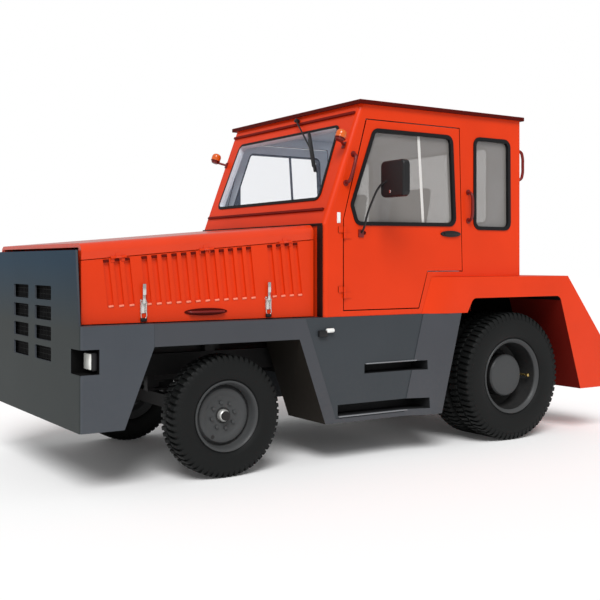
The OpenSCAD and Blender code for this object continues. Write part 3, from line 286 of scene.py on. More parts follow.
# Near black red: painted shade in the gaps between the bonnet and the cab.
gap_painted_shade = bumpy(material("bulkhead_seal", (0.013, 0.004, 0.003), 0.6, shine=0.2), 350, 0.2)
leather = bumpy(material("seat_leather", (0.030, 0.030, 0.032), 0.5), 420, 0.3)
lining = bumpy(material("cab_lining", (0.68, 0.72, 0.78), 0.8, shine=0.2), 300, 0.2)
pale_metal = bumpy(material("pale_metal", (0.72, 0.70, 0.68), 0.5, metal=0.2), 600, 0.1)
hub_metal = bumpy(material("hub_metal", (0.70, 0.70, 0.68), 0.42, metal=0.7), 500, 0.1)
lamp_glass = bumpy(material("ribbed_lens", (0.82, 0.83, 0.78), 0.10, coat=0.6), 120, 0.25, 0.002)
lamp = smudged("lamp_lens", (0.80, 0.82, 0.80), 45, 0.08, 0.20, coat=0.6)
amber = smudged("amber_lens", (0.66, 0.110, 0.004), 45, 0.12, 0.26, coat=0.4)
red = smudged("red_lens", (0.52, 0.012, 0.008), 45, 0.10, 0.24, coat=0.6)
handle = smudged("handle_red", (0.16, 0.008, 0.006), 30, 0.32, 0.52, coat=0.1, shine=0.3)
chrome = smudged("latch_metal", (0.66, 0.65, 0.63), 60, 0.16, 0.32, metal=1.0)
brass = smudged("valve_brass", (0.86, 0.62, 0.22), 90, 0.22, 0.42, metal=1.0)
mirror_face = smudged("mirror_face", (0.75, 0.77, 0.78), 14, 0.03, 0.09, metal=1.0)
glass = window_glass("screen_glass", (0.40, 0.50, 0.68), 0.07)
side_tint = tinted_glass("side_tint", (0.215, 0.200, 0.186), 0.82, 0.02)


# Shapes

SHARP = radians(28)  # least turn at an edge that is rounded
TINY = 1e-6  # a length below this counts as none
UP = Vector((0, 0, 1))
ORIGIN = (0, 0, 0)


def merged(name):
    """A copy of a CAD node's mesh in the row frame, its flat faces joined."""
    node = nodes[name]
    bm = bmesh.new()
    bm.from_mesh(node.data)
    bm.transform(node.matrix_world)
    bmesh.ops.remove_doubles(bm, verts=bm.verts, dist=2e-5)
    bmesh.ops.dissolve_limit(bm, angle_limit=radians(1.0), verts=bm.verts, edges=bm.edges)
    bmesh.ops.recalc_face_normals(bm, faces=bm.faces)
    return bm


def edges_of(verts):
    """The edges at some vertices, each once."""
    return list(dict.fromkeys(edge for vert in verts for edge in vert.link_edges))


def corners_of(faces):
    """The vertices of some faces, each once."""
    return list(dict.fromkeys(vert for face in faces for vert in face.verts))


def round_edges(bm, edges, radius, segments=2, clamp=False):
    """Bevels edges round, and gives the new faces."""
    return bmesh.ops.bevel(bm, geom=edges, offset=radius, offset_type="OFFSET", affect="EDGES",
        segments=segments, profile=0.5, material=-1, clamp_overlap=clamp)["faces"]


def soften(bm, radius, keep, segments=2):
    """Rounds the sharp outward edges that keep(middle, length) picks."""
    edges = []
    for edge in bm.edges:
        if not edge.is_manifold or not edge.is_convex or edge.calc_face_angle() < SHARP:
            continue
        middle = (edge.verts[0].co + edge.verts[1].co) / 2
        if keep(middle, edge.calc_length()):
            edges.append(edge)
    if edges:
        round_edges(bm, edges, radius, segments, True)


def new_object(name, data):
    """An object at the origin, linked to the scene."""
    obj = bpy.data.objects.new(name, data)
    bpy.context.collection.objects.link(obj)
    return obj


def enlist(obj, body, replaced):
    """Makes an object a piece that rides on a CAD body and stands for the replaced nodes."""
    if replaced:
        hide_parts(*replaced)
    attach(obj, body)
    return obj


def shell(bm, name, mat, body, replaced=(), smooth=32):
    """A mesh whose faces already point outwards, as a piece of the model."""
    mesh = bpy.data.meshes.new(name)
    bm.to_mesh(mesh)
    bm.free()
    mesh.materials.append(mat)
    mesh.shade_smooth()
    mesh.set_sharp_from_angle(angle=radians(smooth))
    return enlist(new_object(name, mesh), body, replaced)


def piece(bm, name, mat, body="chassis", replaced=(), smooth=32):
    """A mesh as a piece of the model, its faces turned outwards first."""
    bmesh.ops.recalc_face_normals(bm, faces=bm.faces)
    return shell(bm, name, mat, body, replaced, smooth)


def even(obj):
    """Keeps the flats flat between rounded edges."""
    obj.modifiers.new("even", "WEIGHTED_NORMAL").keep_sharp = True


def paint_node(name, mat):
    """A CAD node shown as it is, in one material."""
    obj = nodes[name]
    obj.data.materials.clear()
    obj.data.materials.append(mat)


def mirrored(side, point):
    """A point of the left side, on either side."""
    x, *rest = point
    return (side * x, *rest)


def once(side, node):
    """The node that a left piece and its right twin stand for, named by the left one."""
    return [node] if side > 0 else []


def spin_x(bm, geom, angle, steps, **options):
    """Turns geometry about the X axis."""
    bmesh.ops.spin(bm, geom=geom, cent=ORIGIN, axis=(1, 0, 0), dvec=ORIGIN, angle=angle, steps=steps,
        **options)


def turned(bm, points, steps):
    """A chain of (radius, across) points turned once about the X axis, added to bm."""
    verts = [bm.verts.new((across, 0.0, radius)) for radius, across in points]
    chain = verts + [bm.edges.new(pair) for pair in zip(verts, verts[1:])]
    spin_x(bm, chain, 2 * pi, steps, use_merge=True)
    bmesh.ops.remove_doubles(bm, verts=bm.verts, dist=TINY)


def box_into(bm, low, high, radius=0.0):
    """A box between two corners, its edges rounded, added to bm."""
    low, high = Vector(low), Vector(high)
    made = bmesh.ops.create_cube(bm, size=1.0)["verts"]
    bmesh.ops.scale(bm, vec=high - low, verts=made)
    if radius:
        made = corners_of(round_edges(bm, edges_of(made), radius))
    bmesh.ops.translate(bm, verts=made, vec=(low + high) / 2)
    return made


def side_box(bm, side, box, radius=0.0):
    """A box given by its (low, high) corners on the left side, added on either side."""
    low, high = box
    near, far = sorted((side * low[0], side * high[0]))
    return box_into(bm, (near, *low[1:]), (far, *high[1:]), radius)


def slab(name, side, box, radius, mat, body="chassis", replaced=()):
    """A rounded box as a piece of its own."""
    bm = bmesh.new()
    side_box(bm, side, box, radius)
    piece(bm, name, mat, body, replaced)


def cylinder_into(bm, segments, radius, length):
    """A closed cylinder about the Z axis, added to bm."""
    return bmesh.ops.create_cone(bm, cap_ends=True, segments=segments, radius1=radius, radius2=radius,
        depth=length)["verts"]


def rod_into(bm, start, end, radius, segments=16, rounding=0.0):
    """A round bar from one point to another, added to bm."""
    start, end = Vector(start), Vector(end)
    along = end - start
    made = cylinder_into(bm, segments, radius, along.length)
    if rounding:
        rims = [e for e in edges_of(made) if abs(e.verts[0].co.z - e.verts[1].co.z) < TINY]
        new = corners_of(round_edges(bm, rims, rounding))
        made = list(dict.fromkeys(new + [v for v in made if v.is_valid]))
    matrix = UP.rotation_difference(along.normalized()).to_matrix()
    bmesh.ops.rotate(bm, verts=made, cent=ORIGIN, matrix=matrix)
    bmesh.ops.translate(bm, verts=made, vec=(start + end) / 2)
    return made


def oval_plate(size, segments):
    """A new mesh with an oval plate at the origin that faces along X."""
    bm = bmesh.new()
    made = cylinder_into(bm, segments, 0.5, 1.0)
    bmesh.ops.rotate(bm, verts=made, cent=ORIGIN, matrix=Matrix.Rotation(pi / 2, 3, "Y"))
    bmesh.ops.scale(bm, vec=size, verts=made)
    return bm


def tube(name, points, radius, mat, body="chassis", replaced=()):
    """A round bar along a smooth line through points, as a piece."""
    data = bpy.data.curves.new(name, "CURVE")
    data.dimensions = "3D"
    data.bevel_depth = radius
    data.bevel_resolution = 4
    data.resolution_u = 6
    data.use_fill_caps = True
    spline = data.splines.new("BEZIER")
    spline.bezier_points.add(len(points) - 1)
    for knot, point in zip(spline.bezier_points, points):
        knot.co = point
        knot.handle_left_type = knot.handle_right_type = "AUTO"
    data.materials.append(mat)
    enlist(new_object(name, data), body, replaced)


# Wheels

FRONT_R = 0.385
REAR_R = 0.485
FRONT_HUB = (0.765, Y_FRONT, FRONT_R)
REAR_HUB = (0.801, Y_REAR, REAR_R)
FRONT_TYRE = (0.225, FRONT_R, 0.200, 0.072, 58)  # flange, tread, width, bead, blocks on one side
REAR_TYRE = (0.285, REAR_R, 0.222, 0.082, 66)
TWIN_STEP = 0.252  # from an outer rear tyre to the inner one
TYRE_STEPS = 96
LUG_SHARE = 0.60  # of the pitch that a tread block covers
LUG_SLANT = 0.55
LUG_TOP = 0.008  # depth of a block's top, whose edges are rounded
LUG_EDGE = radians(35)
LUG_ROUND = 0.0022
RIM_STEPS = 80
CAP_STEPS = 40
FRONT_NUTS = 8
NUT_CIRCLE = 0.083
NUT_TURN = 0.2
NUT_R = 0.0115
NUT_X = (0.018, 0.034)
RIM_HOLE = ((0.0290, -0.078, -0.130), (0.0335, -0.078, -0.130))
VALVE_STEM = ((-0.060, 0.200, -0.006), (0.030, 0.212, -0.010))
VALVE_CAP = ((0.024, 0.2112, -0.010), (0.052, 0.214, -0.011))

# Wheel outlines as (radius, across) points, the wheel's outer side at positive across
FRONT_RIM = (
    (0.034, -0.065), (0.062, -0.065), (0.066, -0.010), (0.150, -0.016), (0.172, -0.066), (0.196, -0.074),
    (0.220, -0.084), (0.225, -0.080), (0.223, -0.074), (0.204, -0.060), (0.204, 0.060), (0.223, 0.074),
    (0.2245, 0.080), (0.222, 0.0845), (0.215, 0.085), (0.209, 0.080), (0.203, 0.070), (0.198, 0.050),
    (0.194, 0.016), (0.190, 0.010), (0.184, 0.012), (0.178, 0.022), (0.170, 0.030), (0.155, 0.033),
    (0.140, 0.030), (0.128, 0.024), (0.118, 0.020), (0.060, 0.020), (0.034, 0.020), (0.034, -0.065))
HUB_CAP = ((0.039, 0.018), (0.039, 0.040), (0.036, 0.049), (0.029, 0.056), (0.017, 0.060), (0.0005, 0.061))
FRONT_GROOVE = ((0.203, 0.066), (0.199, 0.051), (0.1955, 0.0175), (0.190, 0.0120), (0.184, 0.0140))
HUB_RING = ((0.052, 0.0206), (0.044, 0.0212), (0.0385, 0.0212))
REAR_RIM = (
    (0.0005, 0.024), (0.138, 0.025), (0.150, 0.022), (0.159, 0.012), (0.160, -0.100), (0.200, -0.118),
    (0.240, -0.094), (0.249, -0.060), (0.252, 0.040), (0.256, 0.076), (0.266, 0.085), (0.276, 0.094),
    (0.281, 0.095), (0.285, 0.090), (0.283, 0.084), (0.262, 0.076), (0.261, -0.076), (0.283, -0.084),
    (0.285, -0.090), (0.280, -0.094), (0.252, -0.110), (0.240, -0.126), (0.252, -0.142), (0.280, -0.158),
    (0.285, -0.162), (0.283, -0.168), (0.261, -0.176), (0.261, -0.328), (0.283, -0.336), (0.285, -0.342),
    (0.280, -0.346), (0.252, -0.330), (0.240, -0.160), (0.160, -0.140), (0.046, -0.186), (0.046, -0.06))
REAR_BARREL = ((0.1595, 0.006), (0.1612, -0.099), (0.200, -0.1165), (0.239, -0.0935), (0.2478, -0.060),
    (0.2508, 0.040), (0.2535, 0.068))


def tyre_outline(flange, tread, width, bead):
    """Half section of a tyre from the bead over the shoulder to the tread's middle, as (radius, across)."""
    rise = tread - flange
    return [(flange - 0.018, bead), (flange - 0.002, bead + 0.004), (flange + 0.006, 0.40 * width),
        (flange + 0.010, 0.43 * width), (flange + 0.024, 0.462 * width), (flange + 0.026, 0.466 * width),
        (flange + 0.30 * rise, 0.487 * width), (flange + 0.45 * rise, 0.494 * width),
        (flange + 0.60 * rise, 0.490 * width), (flange + 0.72 * rise, 0.478 * width),
        (tread - 0.030, 0.452 * width), (tread - 0.019, 0.415 * width), (tread - 0.014, 0.36 * width),
        (tread - 0.013, 0.20 * width), (tread - 0.013, 0.0)]


def lug_outline(tread, width):
    """Section of a tread block from near the tyre's middle out over its shoulder, as (radius, across)."""
    return [(tread - 0.016, 0.035 * width), (tread - 0.001, 0.035 * width), (tread, 0.06 * width),
        (tread, 0.36 * width), (tread - 0.006, 0.42 * width), (tread - 0.018, 0.455 * width),
        (tread - 0.052, 0.486 * width), (tread - 0.056, 0.470 * width), (tread - 0.030, 0.40 * width)]


def lug_row(bm, tread, width, count, side, phase):
    """Tread blocks over one shoulder, spaced round the tyre, added to bm."""
    pitch = 2 * pi / count
    lug = bmesh.new()
    outline = lug_outline(tread, width)
    section = lug.faces.new([lug.verts.new((side * across, 0.0, radius)) for radius, across in outline])
    spin_x(lug, [section], pitch * LUG_SHARE, 1)
    for vert in lug.verts:
        lean = LUG_SLANT * abs(vert.co.x) / width * pitch
        vert.co = Matrix.Rotation(lean, 3, "X") @ vert.co
    bmesh.ops.recalc_face_normals(lug, faces=lug.faces)
    tops = [e for e in lug.edges if e.calc_face_angle(0) > LUG_EDGE
        and all(hypot(v.co.y, v.co.z) > tread - LUG_TOP for v in e.verts)]
    round_edges(lug, tops, LUG_ROUND, 1)
    bmesh.ops.rotate(lug, verts=lug.verts, cent=ORIGIN, matrix=Matrix.Rotation(phase * pitch, 3, "X"))
    spin_x(lug, lug.verts[:] + lug.edges[:] + lug.faces[:], 2 * pi - pitch, count - 1, use_duplicate=True)
    mesh = bpy.data.meshes.new("lug")
    lug.to_mesh(mesh)
    lug.free()
    bm.from_mesh(mesh)
    bpy.data.meshes.remove(mesh)


def make_tyre(flange, tread, width, bead, count):
    """A new mesh with a treaded tyre about the X axis, its middle at the origin."""
    bm = bmesh.new()
    half = tyre_outline(flange, tread, width, bead)
    turned(bm, half + [(radius, -across) for radius, across in reversed(half[:-1])], TYRE_STEPS)
    lug_row(bm, tread, width, count, 1, 0.0)
    lug_row(bm, tread, width, count, -1, 0.5)
    return bm


def on_hub(bm, side, hub, name, mat, body, replaced=(), smooth=32):
    """Moves what is drawn at the origin, outer face to +X, to a hub on either side, as a piece."""
    if side < 0:
        bmesh.ops.scale(bm, vec=(-1, 1, 1), verts=bm.verts)
        bmesh.ops.reverse_faces(bm, faces=bm.faces)
    bmesh.ops.translate(bm, vec=mirrored(side, hub), verts=bm.verts)
    piece(bm, name, mat, body, replaced, smooth)


def front_wheel(side, label):
    """Tyre, rim with nuts, hub cap, and the groove, ring and hole of one front wheel, the last three dark
    as painted shade.
    """
    body = "wheel_front_" + label
    bm = make_tyre(*FRONT_TYRE)
    on_hub(bm, side, FRONT_HUB, "front_tyre_" + label, tyre, body, ["tyre_front_" + label], 30)
    bm = bmesh.new()
    turned(bm, FRONT_RIM, RIM_STEPS)
    for i in range(FRONT_NUTS):
        turn = 2 * pi * i / FRONT_NUTS + NUT_TURN
        y, z = NUT_CIRCLE * cos(turn), NUT_CIRCLE * sin(turn)
        rod_into(bm, *[(x, y, z) for x in NUT_X], NUT_R, 6, 0.002)
    on_hub(bm, side, FRONT_HUB, "front_rim_" + label, rim_paint, body, ["rim_front_" + label])
    bm = bmesh.new()
    turned(bm, HUB_CAP, CAP_STEPS)
    on_hub(bm, side, FRONT_HUB, "front_hub_cap_" + label, hub_metal, body)
    bm = bmesh.new()
    turned(bm, FRONT_GROOVE, RIM_STEPS)
    turned(bm, HUB_RING, CAP_STEPS)
    rod_into(bm, *RIM_HOLE, 0.0125, 20)
    on_hub(bm, side, FRONT_HUB, "front_rim_groove_" + label, rim_shade, body)


def rear_wheel(side, label):
    """Both tyres, the twin rim with its barrel dark as painted shade, and the valve of one rear wheel."""
    body = "wheel_rear_" + label
    bm = make_tyre(*REAR_TYRE)
    twin = bmesh.ops.duplicate(bm, geom=bm.verts[:] + bm.edges[:] + bm.faces[:])["geom"]
    inner = [part for part in twin if isinstance(part, bmesh.types.BMVert)]
    bmesh.ops.translate(bm, verts=inner, vec=(-TWIN_STEP, 0, 0))
    on_hub(bm, side, REAR_HUB, "rear_tyres_" + label, tyre, body, ["tyres_rear_" + label], 30)
    bm = bmesh.new()
    turned(bm, REAR_RIM, RIM_STEPS)
    on_hub(bm, side, REAR_HUB, "rear_rim_" + label, rim_paint, body, ["rim_rear_" + label])
    bm = bmesh.new()
    turned(bm, REAR_BARREL, RIM_STEPS)
    on_hub(bm, side, REAR_HUB, "rear_rim_barrel_" + label, rim_shade, body)
    bm = bmesh.new()
    rod_into(bm, *VALVE_STEM, 0.0075, 12, 0.001)
    rod_into(bm, *VALVE_CAP, 0.0125, 16, 0.003)
    on_hub(bm, side, REAR_HUB, "rear_valve_" + label, brass, body)


for side, label in SIDES:
    front_wheel(side, label)
    rear_wheel(side, label)


# Body panels: edges and faces are picked by where they lie and look

SQUARE = 0.9  # least share of a normal along an axis in a face that looks along it
CAB_MIDDLE = 0.33
CAB_BACK = 1.17
TOE_SLOTS_Y = (-0.52, 0.30)
TOE_SLOTS_Z = (0.30, 0.67)
MOULDING_UNDER = 0.106  # middles of the two mouldings along the screen's lean
MOULDING_OVER = SCREEN_L - 0.0715
MOULDING_HALF = 0.012


def panel(name, mat, body="chassis", rounds=(), parts=()):
    """A CAD panel with rounded edges in several finishes: rounds holds (radius, keep) pairs, and parts
    (label, material, pick) rows, where the faces that pick(centre, normal) takes become a piece."""
    bm = merged(name)
    for radius, keep in rounds:
        soften(bm, radius, keep)
    bm.normal_update()
    for label, other_mat, pick in parts:
        other = bm.copy()
        picked = [f for f in bm.faces if pick(f.calc_center_median(), f.normal)]
        kept = [f for f in other.faces if not pick(f.calc_center_median(), f.normal)]
        bmesh.ops.delete(bm, geom=picked, context="FACES")
        bmesh.ops.delete(other, geom=kept, context="FACES")
        even(shell(other, name + "_" + label, other_mat, body))
    even(shell(bm, name + "_shell", mat, body, [name]))


def longer(limit):
    """Picks edges longer than limit."""
    return lambda middle, length: length > limit


def screen_y(z):
    """Where the cab's front face stands at a height."""
    return Y_CAB + max(0.0, z - SCREEN_Z) * tan(RAKE)


def cab_corner(middle, length):
    """The long front corners of the cab."""
    return abs(middle.x) > CAB_X - 0.001 and length > 0.2 and middle.y < screen_y(middle.z) + 0.01


def outer_cab_edge(middle, length):
    """Long edges on the outer face of a cab wall or door."""
    return abs(abs(middle.x) - CAB_X) < 0.002 and length > 0.15


def outer_bonnet_edge(middle, length):
    """Edges on the outer face of a bonnet panel."""
    return abs(abs(middle.x) - BONNET_X) < 0.002 and length > 0.03


def inside_cab(centre, normal):
    """Faces of a cab wall that look into the cab."""
    if abs(normal.z) > 0.6:
        return False
    if abs(normal.x) > SQUARE:
        return normal.x * centre.x < 0 and abs(centre.x) < CAB_X - 0.02
    inward = abs(normal.y) > 0.5 and normal.y * (CAB_MIDDLE - centre.y) > 0
    end_wall = centre.y < Y_CAB + 0.33 or centre.y > CAB_BACK
    return inward and end_wall and abs(centre.x) < CAB_X - 0.045


def on_moulding(centre, normal):
    """The moulding over the windscreen and the cowl strip under it, painted dark red as painted shade."""
    spot = TO_SCREEN @ centre
    offsets = [abs(spot.z - middle) for middle in (MOULDING_UNDER, MOULDING_OVER)]
    return spot.y < -0.0006 and min(offsets) < MOULDING_HALF


def door_gap(centre, normal):
    """The narrow faces that meet in the gap round a door, painted dark red as painted shade."""
    return abs(normal.x) < 0.3 and abs(centre.x) > 0.80 and centre.y < 0.72


def nose_front(centre, normal):
    """The nose's front face, painted darker than the sides as painted shade."""
    return normal.y < -0.75


def roof_rim(centre, normal):
    """The roof's edge and underside, painted dark red as painted shade."""
    return abs(normal.z) < 0.6 or centre.z < 2.445


def deck_inside(centre, normal):
    """The hollow side of the rear deck's plates, painted black as painted shade."""
    return normal.y < -0.3 or normal.z < -0.3


def wheel_house(centre, normal):
    """The ceiling and the inner wall of the rear wheel's house, painted black as painted shade."""
    inner_wall = abs(normal.x) > SQUARE and abs(centre.x) < 0.60
    return inner_wall or normal.z < -0.25 and centre.z > 1.0


def tail_inside(centre, normal):
    """The front of the tail, behind the rear wheel, painted dark red as painted shade."""
    return normal.y < -0.4 and centre.y > 1.6


def arch_face(centre, normal):
    """The skirt's end in the front arch."""
    return normal.y < -0.4 and centre.y < Y_CAB + 0.08


def in_slot(centre, normal):
    """Faces inside the two toe slots."""
    in_depth = BODY_X - 0.20 < abs(centre.x) < BODY_X - 0.008
    in_length = TOE_SLOTS_Y[0] < centre.y < TOE_SLOTS_Y[1]
    return in_depth and in_length and TOE_SLOTS_Z[0] < centre.z < TOE_SLOTS_Z[1]


def on_border(centre, normal):
    """The raised border round the skirt's pressed panel, painted lighter as painted highlight."""
    return abs(normal.x) > SQUARE and abs(centre.x) > BODY_X - 0.003 and centre.y > -0.90


LINED = [("lining", lining, inside_cab)]
# The faces in the door gaps are painted dark red as painted shade.
LINED_AND_GAP_SHADE = LINED + [("edges", orange_shade, door_gap)]
CAB_EDGES = [(0.004, outer_cab_edge)]
panel("nose", grey, rounds=[(0.004, longer(0.02))], parts=[("front", nose_front_painted_shade, nose_front)])
panel("cab_front", orange, rounds=[(0.032, cab_corner)],
    parts=LINED + [("mouldings", dark_red_painted_shade, on_moulding)])
panel("cab_rear", orange, parts=LINED)
panel("cab_roof", orange, rounds=[(0.003, longer(0.05))], parts=[("rim", orange_shade, roof_rim)])
panel("rear_deck", orange, rounds=[(0.004, longer(0.2))], parts=[("inside", hole, deck_inside)])
panel("bonnet_top", bonnet_gloss)
for side, label in SIDES:
    panel("cab_side_" + label, orange, "chassis", CAB_EDGES, LINED_AND_GAP_SHADE)
    panel("door_" + label, orange, "door_" + label, CAB_EDGES, LINED_AND_GAP_SHADE)
    panel("bonnet_" + label, orange, "bonnet_" + label, [(0.006, outer_bonnet_edge)])
    panel("fender_" + label, orange, "chassis", [(0.010, longer(0.05))],
        [("ceiling", hole, wheel_house), ("tail_inside", dark_red_painted_shade, tail_inside)])
    panel("skirt_" + label, skirt_grey, "chassis", [(0.004, longer(0.04))],
        [("arch", arch_dark, arch_face), ("slots", slot_dark, in_slot), ("border", skirt_border_highlight, on_border)])


# Nose: headlamps, and the screen behind the slots

LAMP_POCKET = ((0.731, -2.2995, 0.706), (0.8795, -2.184, 0.849))
LAMP_HOUSING = ((0.742, -2.222, 0.722), (0.858, -2.185, 0.833))
LAMP_LENS = ((0.749, -2.230, 0.731), (0.851, -2.220, 0.825))
GRILLE_BOARD = ((-0.60, -2.2665, 0.66), (0.60, -2.2615, 1.27))
WIRE_R = 0.0016
UPRIGHT_WIRES = (33, -0.48, 0.03)  # how many, the first one's place, the step
LEVEL_WIRES = (20, 0.69, 0.029)
UPRIGHT_ENDS = ((-2.270, 0.68), (-2.270, 1.25))
LEVEL_ENDS = ((-0.50, -2.268), (0.50, -2.268))


def headlamp(side, label):
    """Pocket lined in black as painted shade, with a black housing and a ribbed lens."""
    bm = bmesh.new()
    side_box(bm, side, LAMP_POCKET)
    opened = [f for f in bm.faces if f.normal.y < -0.5 or side * f.normal.x > 0.5]
    bmesh.ops.delete(bm, geom=opened, context="FACES")
    piece(bm, "lamp_pocket_" + label, hole)
    slab("headlamp_housing_" + label, side, LAMP_HOUSING, 0.010, plastic)
    slab("headlamp_lens_" + label, side, LAMP_LENS, 0.004, lamp_glass, replaced=once(side, "headlamps"))


def nose_screen():
    """Wire screen on a board behind the grille slots, the board black as painted shade."""
    slab("grille_board", 1, GRILLE_BOARD, 0.002, hole)
    bm = bmesh.new()
    count, first, step = UPRIGHT_WIRES
    for i in range(count):
        rod_into(bm, *[(first + i * step, *end) for end in UPRIGHT_ENDS], WIRE_R, 6)
    count, first, step = LEVEL_WIRES
    for i in range(count):
        rod_into(bm, *[(*end, first + i * step) for end in LEVEL_ENDS], WIRE_R, 6)
    piece(bm, "grille_screen", chassis)


for side, label in SIDES:
    headlamp(side, label)
nose_screen()


# Bonnet: louvres with painted shade and highlight marks, latches, pulls, and strips of painted shade in its
# gaps

Y_BONNET = (-2.263, -0.642)
LOUVRE_GROUPS = ((3, 0.270), (12, 0.810), (4, 1.432))  # how many, and their middle behind the nose
LOUVRE_PITCH = 0.066
LOUVRE_LEAN = radians(6.5)
LOUVRE_HALF = 0.0155
LOUVRE_TOPS = (1.357, 1.497)  # heights at the nose and at the cab
LOUVRE_FEET = (1.080, 1.133)
SEAM_TOPS = (1.365, 1.505)
SEAM_X = 0.779
LATCH_YS = (-1.877, -1.001)
LATCH_PIN = (0.013, 0.126)  # out of the panel, above its foot
# Latch boxes: two corners as (out of the panel, along it, above its foot), and their rounding
LATCH_BOXES = (
    ((0.0005, -0.020, 0.062), (0.005, 0.020, 0.146), 0.002),
    ((0.004, -0.016, 0.100), (0.020, -0.011, 0.140), 0.002),
    ((0.004, 0.011, 0.100), (0.020, 0.016, 0.140), 0.002),
    ((0.014, -0.0095, 0.120), (0.021, 0.0095, 0.178), 0.003),
    ((0.017, -0.0115, 0.172), (0.026, 0.0115, 0.240), 0.004))
LATCH_STRIKE = ((0.0005, -0.019, 0.012), (0.020, 0.019, 0.034))
LATCH_BAIL = ((-0.0165, 0.126), (-0.0165, 0.075), (-0.014, 0.034), (0.0, 0.027), (0.014, 0.034),
    (0.0165, 0.075), (0.0165, 0.126))  # along the panel, above its foot
PULL_Y = -1.4525
PULL_Z = DECK_Z + 0.060
PULL_PLATE = (0.004, 0.300, 0.046)
PULL_BAR = ((0.003, -0.124), (0.018, -0.116), (0.024, -0.095), (0.024, 0.095), (0.018, 0.116),
    (0.003, 0.124))  # out of the panel, along it
# Strips of painted shade in the gap at the bonnet's rear and under the cowl.
BULKHEAD_STRIP = ((0.803, Y_CAB - 0.007, DECK_Z + 0.004), (0.866, Y_CAB - 0.0005, 1.600))
COWL_STRIP = ((-0.858, Y_CAB - 0.008, 1.598), (0.858, Y_CAB + 0.002, 1.615))


def along_bonnet(y, low, high):
    """A height that runs from low at the nose to high at the cab."""
    return low + (high - low) * (y - Y_BONNET[0]) / (Y_BONNET[1] - Y_BONNET[0])


def louvre_marks(side, label):
    """Painted shade over and painted highlight under each pressed louvre: a dark mark where its top end
    falls in shade, a pale one where its foot catches light.
    """
    shade_marks, highlight_marks = bmesh.new(), bmesh.new()
    for count, middle in LOUVRE_GROUPS:
        for i in range(count):
            y = Y_NOSE + middle + LOUVRE_PITCH * (i - (count - 1) / 2)
            low = along_bonnet(y, *LOUVRE_FEET)
            half = (along_bonnet(y, *LOUVRE_TOPS) - low) / 2
            place = Matrix.Translation((side * BONNET_X, y, low + half))
            lean = Matrix.Rotation(LOUVRE_LEAN, 4, "X")
            for bm, z0, z1 in ((shade_marks, half - 0.018, half - 0.001), (highlight_marks, 0.001 - half, 0.013 - half)):
                box = (-0.005, -LOUVRE_HALF, z0), (0.0046, LOUVRE_HALF, z1)
                bmesh.ops.transform(bm, matrix=place @ lean, verts=side_box(bm, side, box, 0.002))
    piece(shade_marks, "louvre_mouths_" + label, louvre_painted_shade, "bonnet_" + label)
    piece(highlight_marks, "louvre_lips_" + label, louvre_lip, "bonnet_" + label)


def seam_strip(side, label):
    """Orange strip behind the gap between the bonnet's top and its side panel."""
    bm = bmesh.new()
    ys = (Y_BONNET[0] + 0.004, Y_BONNET[1] - 0.034)
    rod_into(bm, *[(side * SEAM_X, y, along_bonnet(y, *SEAM_TOPS)) for y in ys], 0.004, 8)
    piece(bm, "seam_strip_" + label, orange)


def latch(side, body, name, y):
    """Over-centre latch: plate, ears, lever and pin, the strike at the panel's foot and the bail."""
    foot = Vector((BONNET_X, y, DECK_Z))
    out, rise = LATCH_PIN
    bm = bmesh.new()
    for low, high, radius in LATCH_BOXES:
        side_box(bm, side, (foot + Vector(low), foot + Vector(high)), radius)
    pin = [(side * (BONNET_X + out), y + dy, DECK_Z + rise) for dy in (-0.021, 0.021)]
    rod_into(bm, *pin, 0.0045, 12, 0.001)
    piece(bm, name, chrome, body)
    slab(name + "_strike", side, [foot + Vector(corner) for corner in LATCH_STRIKE], 0.004, chassis, body)
    loop = [(side * (BONNET_X + out), y + dy, DECK_Z + z) for dy, z in LATCH_BAIL]
    tube(name + "_bail", loop, 0.003, chrome, body)


def bonnet_fittings(side, label):
    """Two latches, and a pull bar on an oval plate of one bonnet panel, the plate dark red as the painted
    shade of a recessed grip.
    """
    body = "bonnet_" + label
    for i, y in enumerate(LATCH_YS):
        latch(side, body, "latch_%s_%d" % (label, i + 1), y)
    bm = oval_plate(PULL_PLATE, 48)
    bmesh.ops.translate(bm, verts=bm.verts, vec=(side * (BONNET_X + 0.0026), PULL_Y, PULL_Z))
    piece(bm, "pull_plate_" + label, orange_shade, body)
    bar = [(side * (BONNET_X + out), PULL_Y + dy, PULL_Z) for out, dy in PULL_BAR]
    tube("pull_bar_" + label, bar, 0.008, handle, body, ["latches_" + label])


for side, label in SIDES:
    louvre_marks(side, label)
    seam_strip(side, label)
    bonnet_fittings(side, label)
    slab("bulkhead_shade_strip_" + label, side, BULKHEAD_STRIP, 0.003, gap_painted_shade)
slab("cowl_gap_shade_strip", 1, COWL_STRIP, 0.003, gap_painted_shade)


# Cab: turn lamps and grab handles

TURN_FOOT = (0.828, 0.0, SCREEN_L - 0.285)  # on the pillar, along the screen's lean
TURN_HEAD = (0.058, -0.085, 0.0)  # the lamp from its foot
TURN_LENS = ((0.0300, -0.022), (0.0360, -0.020), (0.0372, -0.012), (0.0368, -0.010), (0.0376, -0.006),
    (0.0372, -0.002), (0.0380, 0.002), (0.0374, 0.008), (0.0376, 0.014), (0.0345, 0.026), (0.0270, 0.035),
    (0.0150, 0.0405), (0.0003, 0.042))
TURN_BASE = ((0.0003, -0.040), (0.0240, -0.040), (0.0290, -0.036), (0.0300, -0.022), (0.0385, -0.0215),
    (0.0385, -0.0185), (0.0290, -0.018))
GRAB_R = 0.0115
GRAB_OUT = (0.046, 0, 0)
PILLAR_GRAB = ((WALL_X, -0.427, 1.890), (WALL_X, -0.364, 2.090))  # its two feet
DOOR_GRAB = ((WALL_X, 0.689, 1.660), (WALL_X, 0.689, 1.870))
REAR_GRAB = ((0.835, 1.2254, 1.985), (0.835, 1.2254, 2.215))
REAR_GRAB_OUT = (0.022, 0.042, 0)
